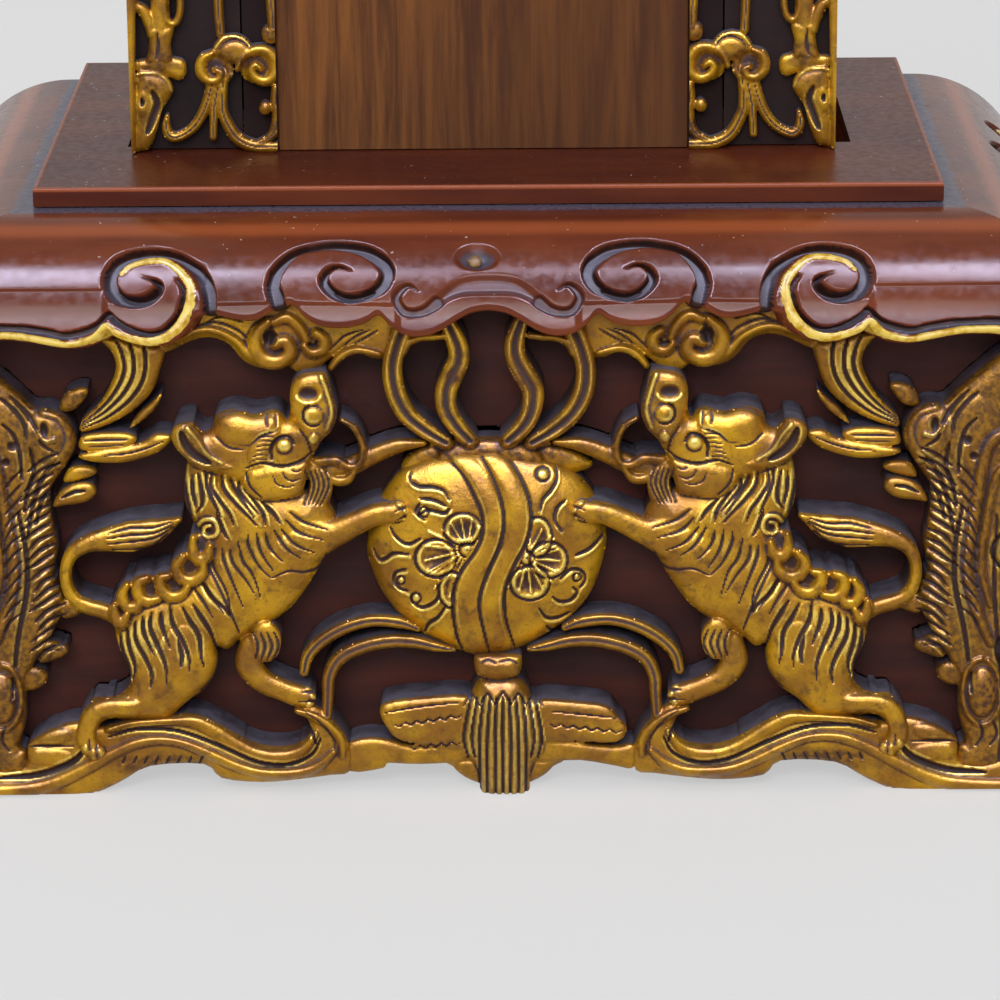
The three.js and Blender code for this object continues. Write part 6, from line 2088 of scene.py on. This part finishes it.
def rosette():
    """Two rings of petals with cuts between them, and a boss."""
    strokes = [("form", ("arc", ROSETTE, ROSETTE_RADII, *ROSETTE_FORM), -1.0, 9, 5)]
    for petals, middle, cut in ROSETTE_RINGS:
        for petal in range(petals):
            turn = 2 * math.pi * (petal + 0.5) / petals
            (spot,) = turned_out(ROSETTE, turn, (middle,), ROSETTE_RADII)
            strokes.append(("dome", spot, *ROSETTE_PETAL))
            line = turned_out(ROSETTE, turn + math.pi / petals, cut, ROSETTE_RADII)
            strokes.append(("groove", line, *ROSETTE_CUT))
    for share, count in ROSETTE_EDGES:
        edge = ("arc", ROSETTE, np.multiply(ROSETTE_RADII, share), 0, 360, count)
        strokes.append(("groove", edge, *ROSETTE_EDGE_CUT))
    strokes.append(("dome", ROSETTE, (0.045, 0.045), 1.4))
    return strokes


SIDE_STROKES = (
    *(("band", shares, half, *SIDE_BAND) for shares, half in SIDE_BAND_SHARES),
    *(("band", both_ways(shares, 1), half, *SIDE_BAND) for shares, half in SIDE_PAIR_SHARES),
    *side_cuts(),
    *rosette(),
)


def side_limit(relief):
    """Ends a side carving at the mitre in front, the back, the floor, and the lip above it."""
    mitre = relief.x - (TIER_FRONT - outer_height(relief)) - SEAM
    end_at(relief, mitre, BASE_BACK - relief.x, relief.z - FLOOR_GAP, BOARDS_TOP - relief.z)
    tuck_under_lip(relief, lip_end(side_twin(0, relief.x)))


def side_place(along, reach, up):
    return np.stack((TIER_HALF + reach, along, up), 1)


def add_sides():
    low, high = (SIDE_FRONT - MARGIN, 0), (BASE_BACK + CELL, BOARDS_TOP + MARGIN)
    relief = flat_relief(low, high, SIDE_CELL, side_plane, SIDE_TALL)
    back = flat_back(CARVING_BACK)
    right = relief_mesh("side_right", relief, drawn(SIDE_STROKES), back, side_place, side_limit)
    left = mirrored_mesh(right, "side_left")
    for mesh, node in ((right, "right_carving"), (left, "left_carving")):
        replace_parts(make_object(mesh.name, mesh, GILDING, "base"), node)


add_sides()


# Floor, light and camera

FLOOR_SIZE = 12
FLOOR_NOISE = (30, 3)
FLOOR_TONES = (colour(222, 222, 221), colour(226, 226, 226))
FLOOR_ROUGH = 0.9
FLOOR_SHINE = 0.5
FLOOR_SHARE = 0.6
FLOOR_GLOW = 0.865
WORLD_STRENGTH, WORLD_SHOWN = 0.42, 0.72
WHITE = (1, 1, 1, 1)

# Name, place, aim, size, power, tint, and whether it lights more than glosses
COOL = (0.74, 0.74, 1.0)
NEUTRAL = (1.0, 1.0, 1.0)
LAMPS = (
    ("left sheen", (-1.05, -1.65, 3.9), (-0.1, -0.07, 0.12), (1.2, 1.9), 400, COOL, False),
    ("right sheen", (1.05, -1.65, 3.9), (0.1, -0.07, 0.12), (1.2, 1.9), 400, COOL, False),
    ("rim sheen", (0.0, -4.4, 2.2), (0, -0.05, 0.08), (3.0, 1.2), 110, COOL, False),
    ("window", (-0.6, -4.2, 2.9), (0, -0.05, 0.08), (2.6, 1.6), 124, NEUTRAL, True),
)


def add_floor():
    """A light floor that glows a little where it is seen, and not where it lights the object."""
    bpy.ops.mesh.primitive_plane_add(size=FLOOR_SIZE, location=(0, 0, -FLOOR_GAP * MM))
    floor = bpy.context.object
    floor.name = "floor"
    paint = Paint("floor", {})
    material = paint.finish(paint.mix(paint.noise(*FLOOR_NOISE), *FLOOR_TONES), FLOOR_ROUGH, FLOOR_SHINE)
    glow = paint.node("Emission", {"Strength": FLOOR_GLOW})
    shaders = {0: paint.times(paint.seen_ray(), FLOOR_SHARE), 1: paint.shader.outputs[0], 2: glow.outputs[0]}
    mix = paint.node("MixShader", shaders)
    paint.link(mix.outputs[0], paint.tree.nodes["Material Output"].inputs["Surface"])
    floor.data.materials.append(material)


def add_lamp(name, place, aim, size, power, tint, diffuse):
    data = bpy.data.lights.new(name, "AREA")
    data.color = tint
    data.shape = "RECTANGLE"
    data.size, data.size_y = size
    data.energy = power
    lamp = bpy.data.objects.new(name, data)
    lamp.location = place
    lamp.visible_diffuse = diffuse
    lamp.rotation_euler = (Vector(aim) - Vector(place)).to_track_quat("-Z", "Y").to_euler()
    bpy.context.scene.collection.objects.link(lamp)


def add_world():
    """White light all round, with one strength on the object and another where it is seen."""
    world = bpy.data.worlds.new("studio")
    bpy.context.scene.world = world
    world.use_nodes = True
    nodes = Nodes(world.node_tree)
    background = nodes.tree.nodes["Background"]
    strength = nodes.mix(nodes.seen_ray(), WORLD_STRENGTH, WORLD_SHOWN, "FLOAT", NUMBER_MIX)
    nodes.link(strength, background.inputs["Strength"])
    nodes.link(WHITE, background.inputs["Color"])


def add_camera():
    data = bpy.data.cameras.new("camera")
    data.sensor_width = SENSOR
    data.lens = FOCAL_PX / IMAGE_PX * SENSOR
    data.clip_start, data.clip_end = CLIP_START, CLIP_END
    camera = bpy.data.objects.new("camera", data)
    turn = Matrix([list(RIGHT), list(UP), list(-FORWARD)]).transposed()
    camera.matrix_world = Matrix.Translation(Vector(EYE * MM)) @ turn.to_4x4()
    bpy.context.scene.collection.objects.link(camera)
    bpy.context.scene.camera = camera


add_floor()
for row in LAMPS:
    add_lamp(*row)
add_world()
add_camera()
bpy.context.scene.view_settings.view_transform = "Standard"

# Every node of the CAD model gets its material; the strips that hold the panel are darker, with painted shade
# for the recess they sit in
SLOTS = {row["node"]: row["material_slot"] for row in frame["record"]["subparts"]}
SLOT_MATERIALS = {
    "lacquer": LACQUER, "ground_lacquer": GROUND, "gilding": GILDING,
    "face_wood": FACE_WOOD, "plain_wood": PLAIN_WOOD, "nail_brass": BRASS,
}
for node, piece in frame["nodes"].items():
    piece.data.materials.clear()
    piece.data.materials.append(SHADED_RECESS if "fillet" in node else SLOT_MATERIALS[SLOTS[node]])
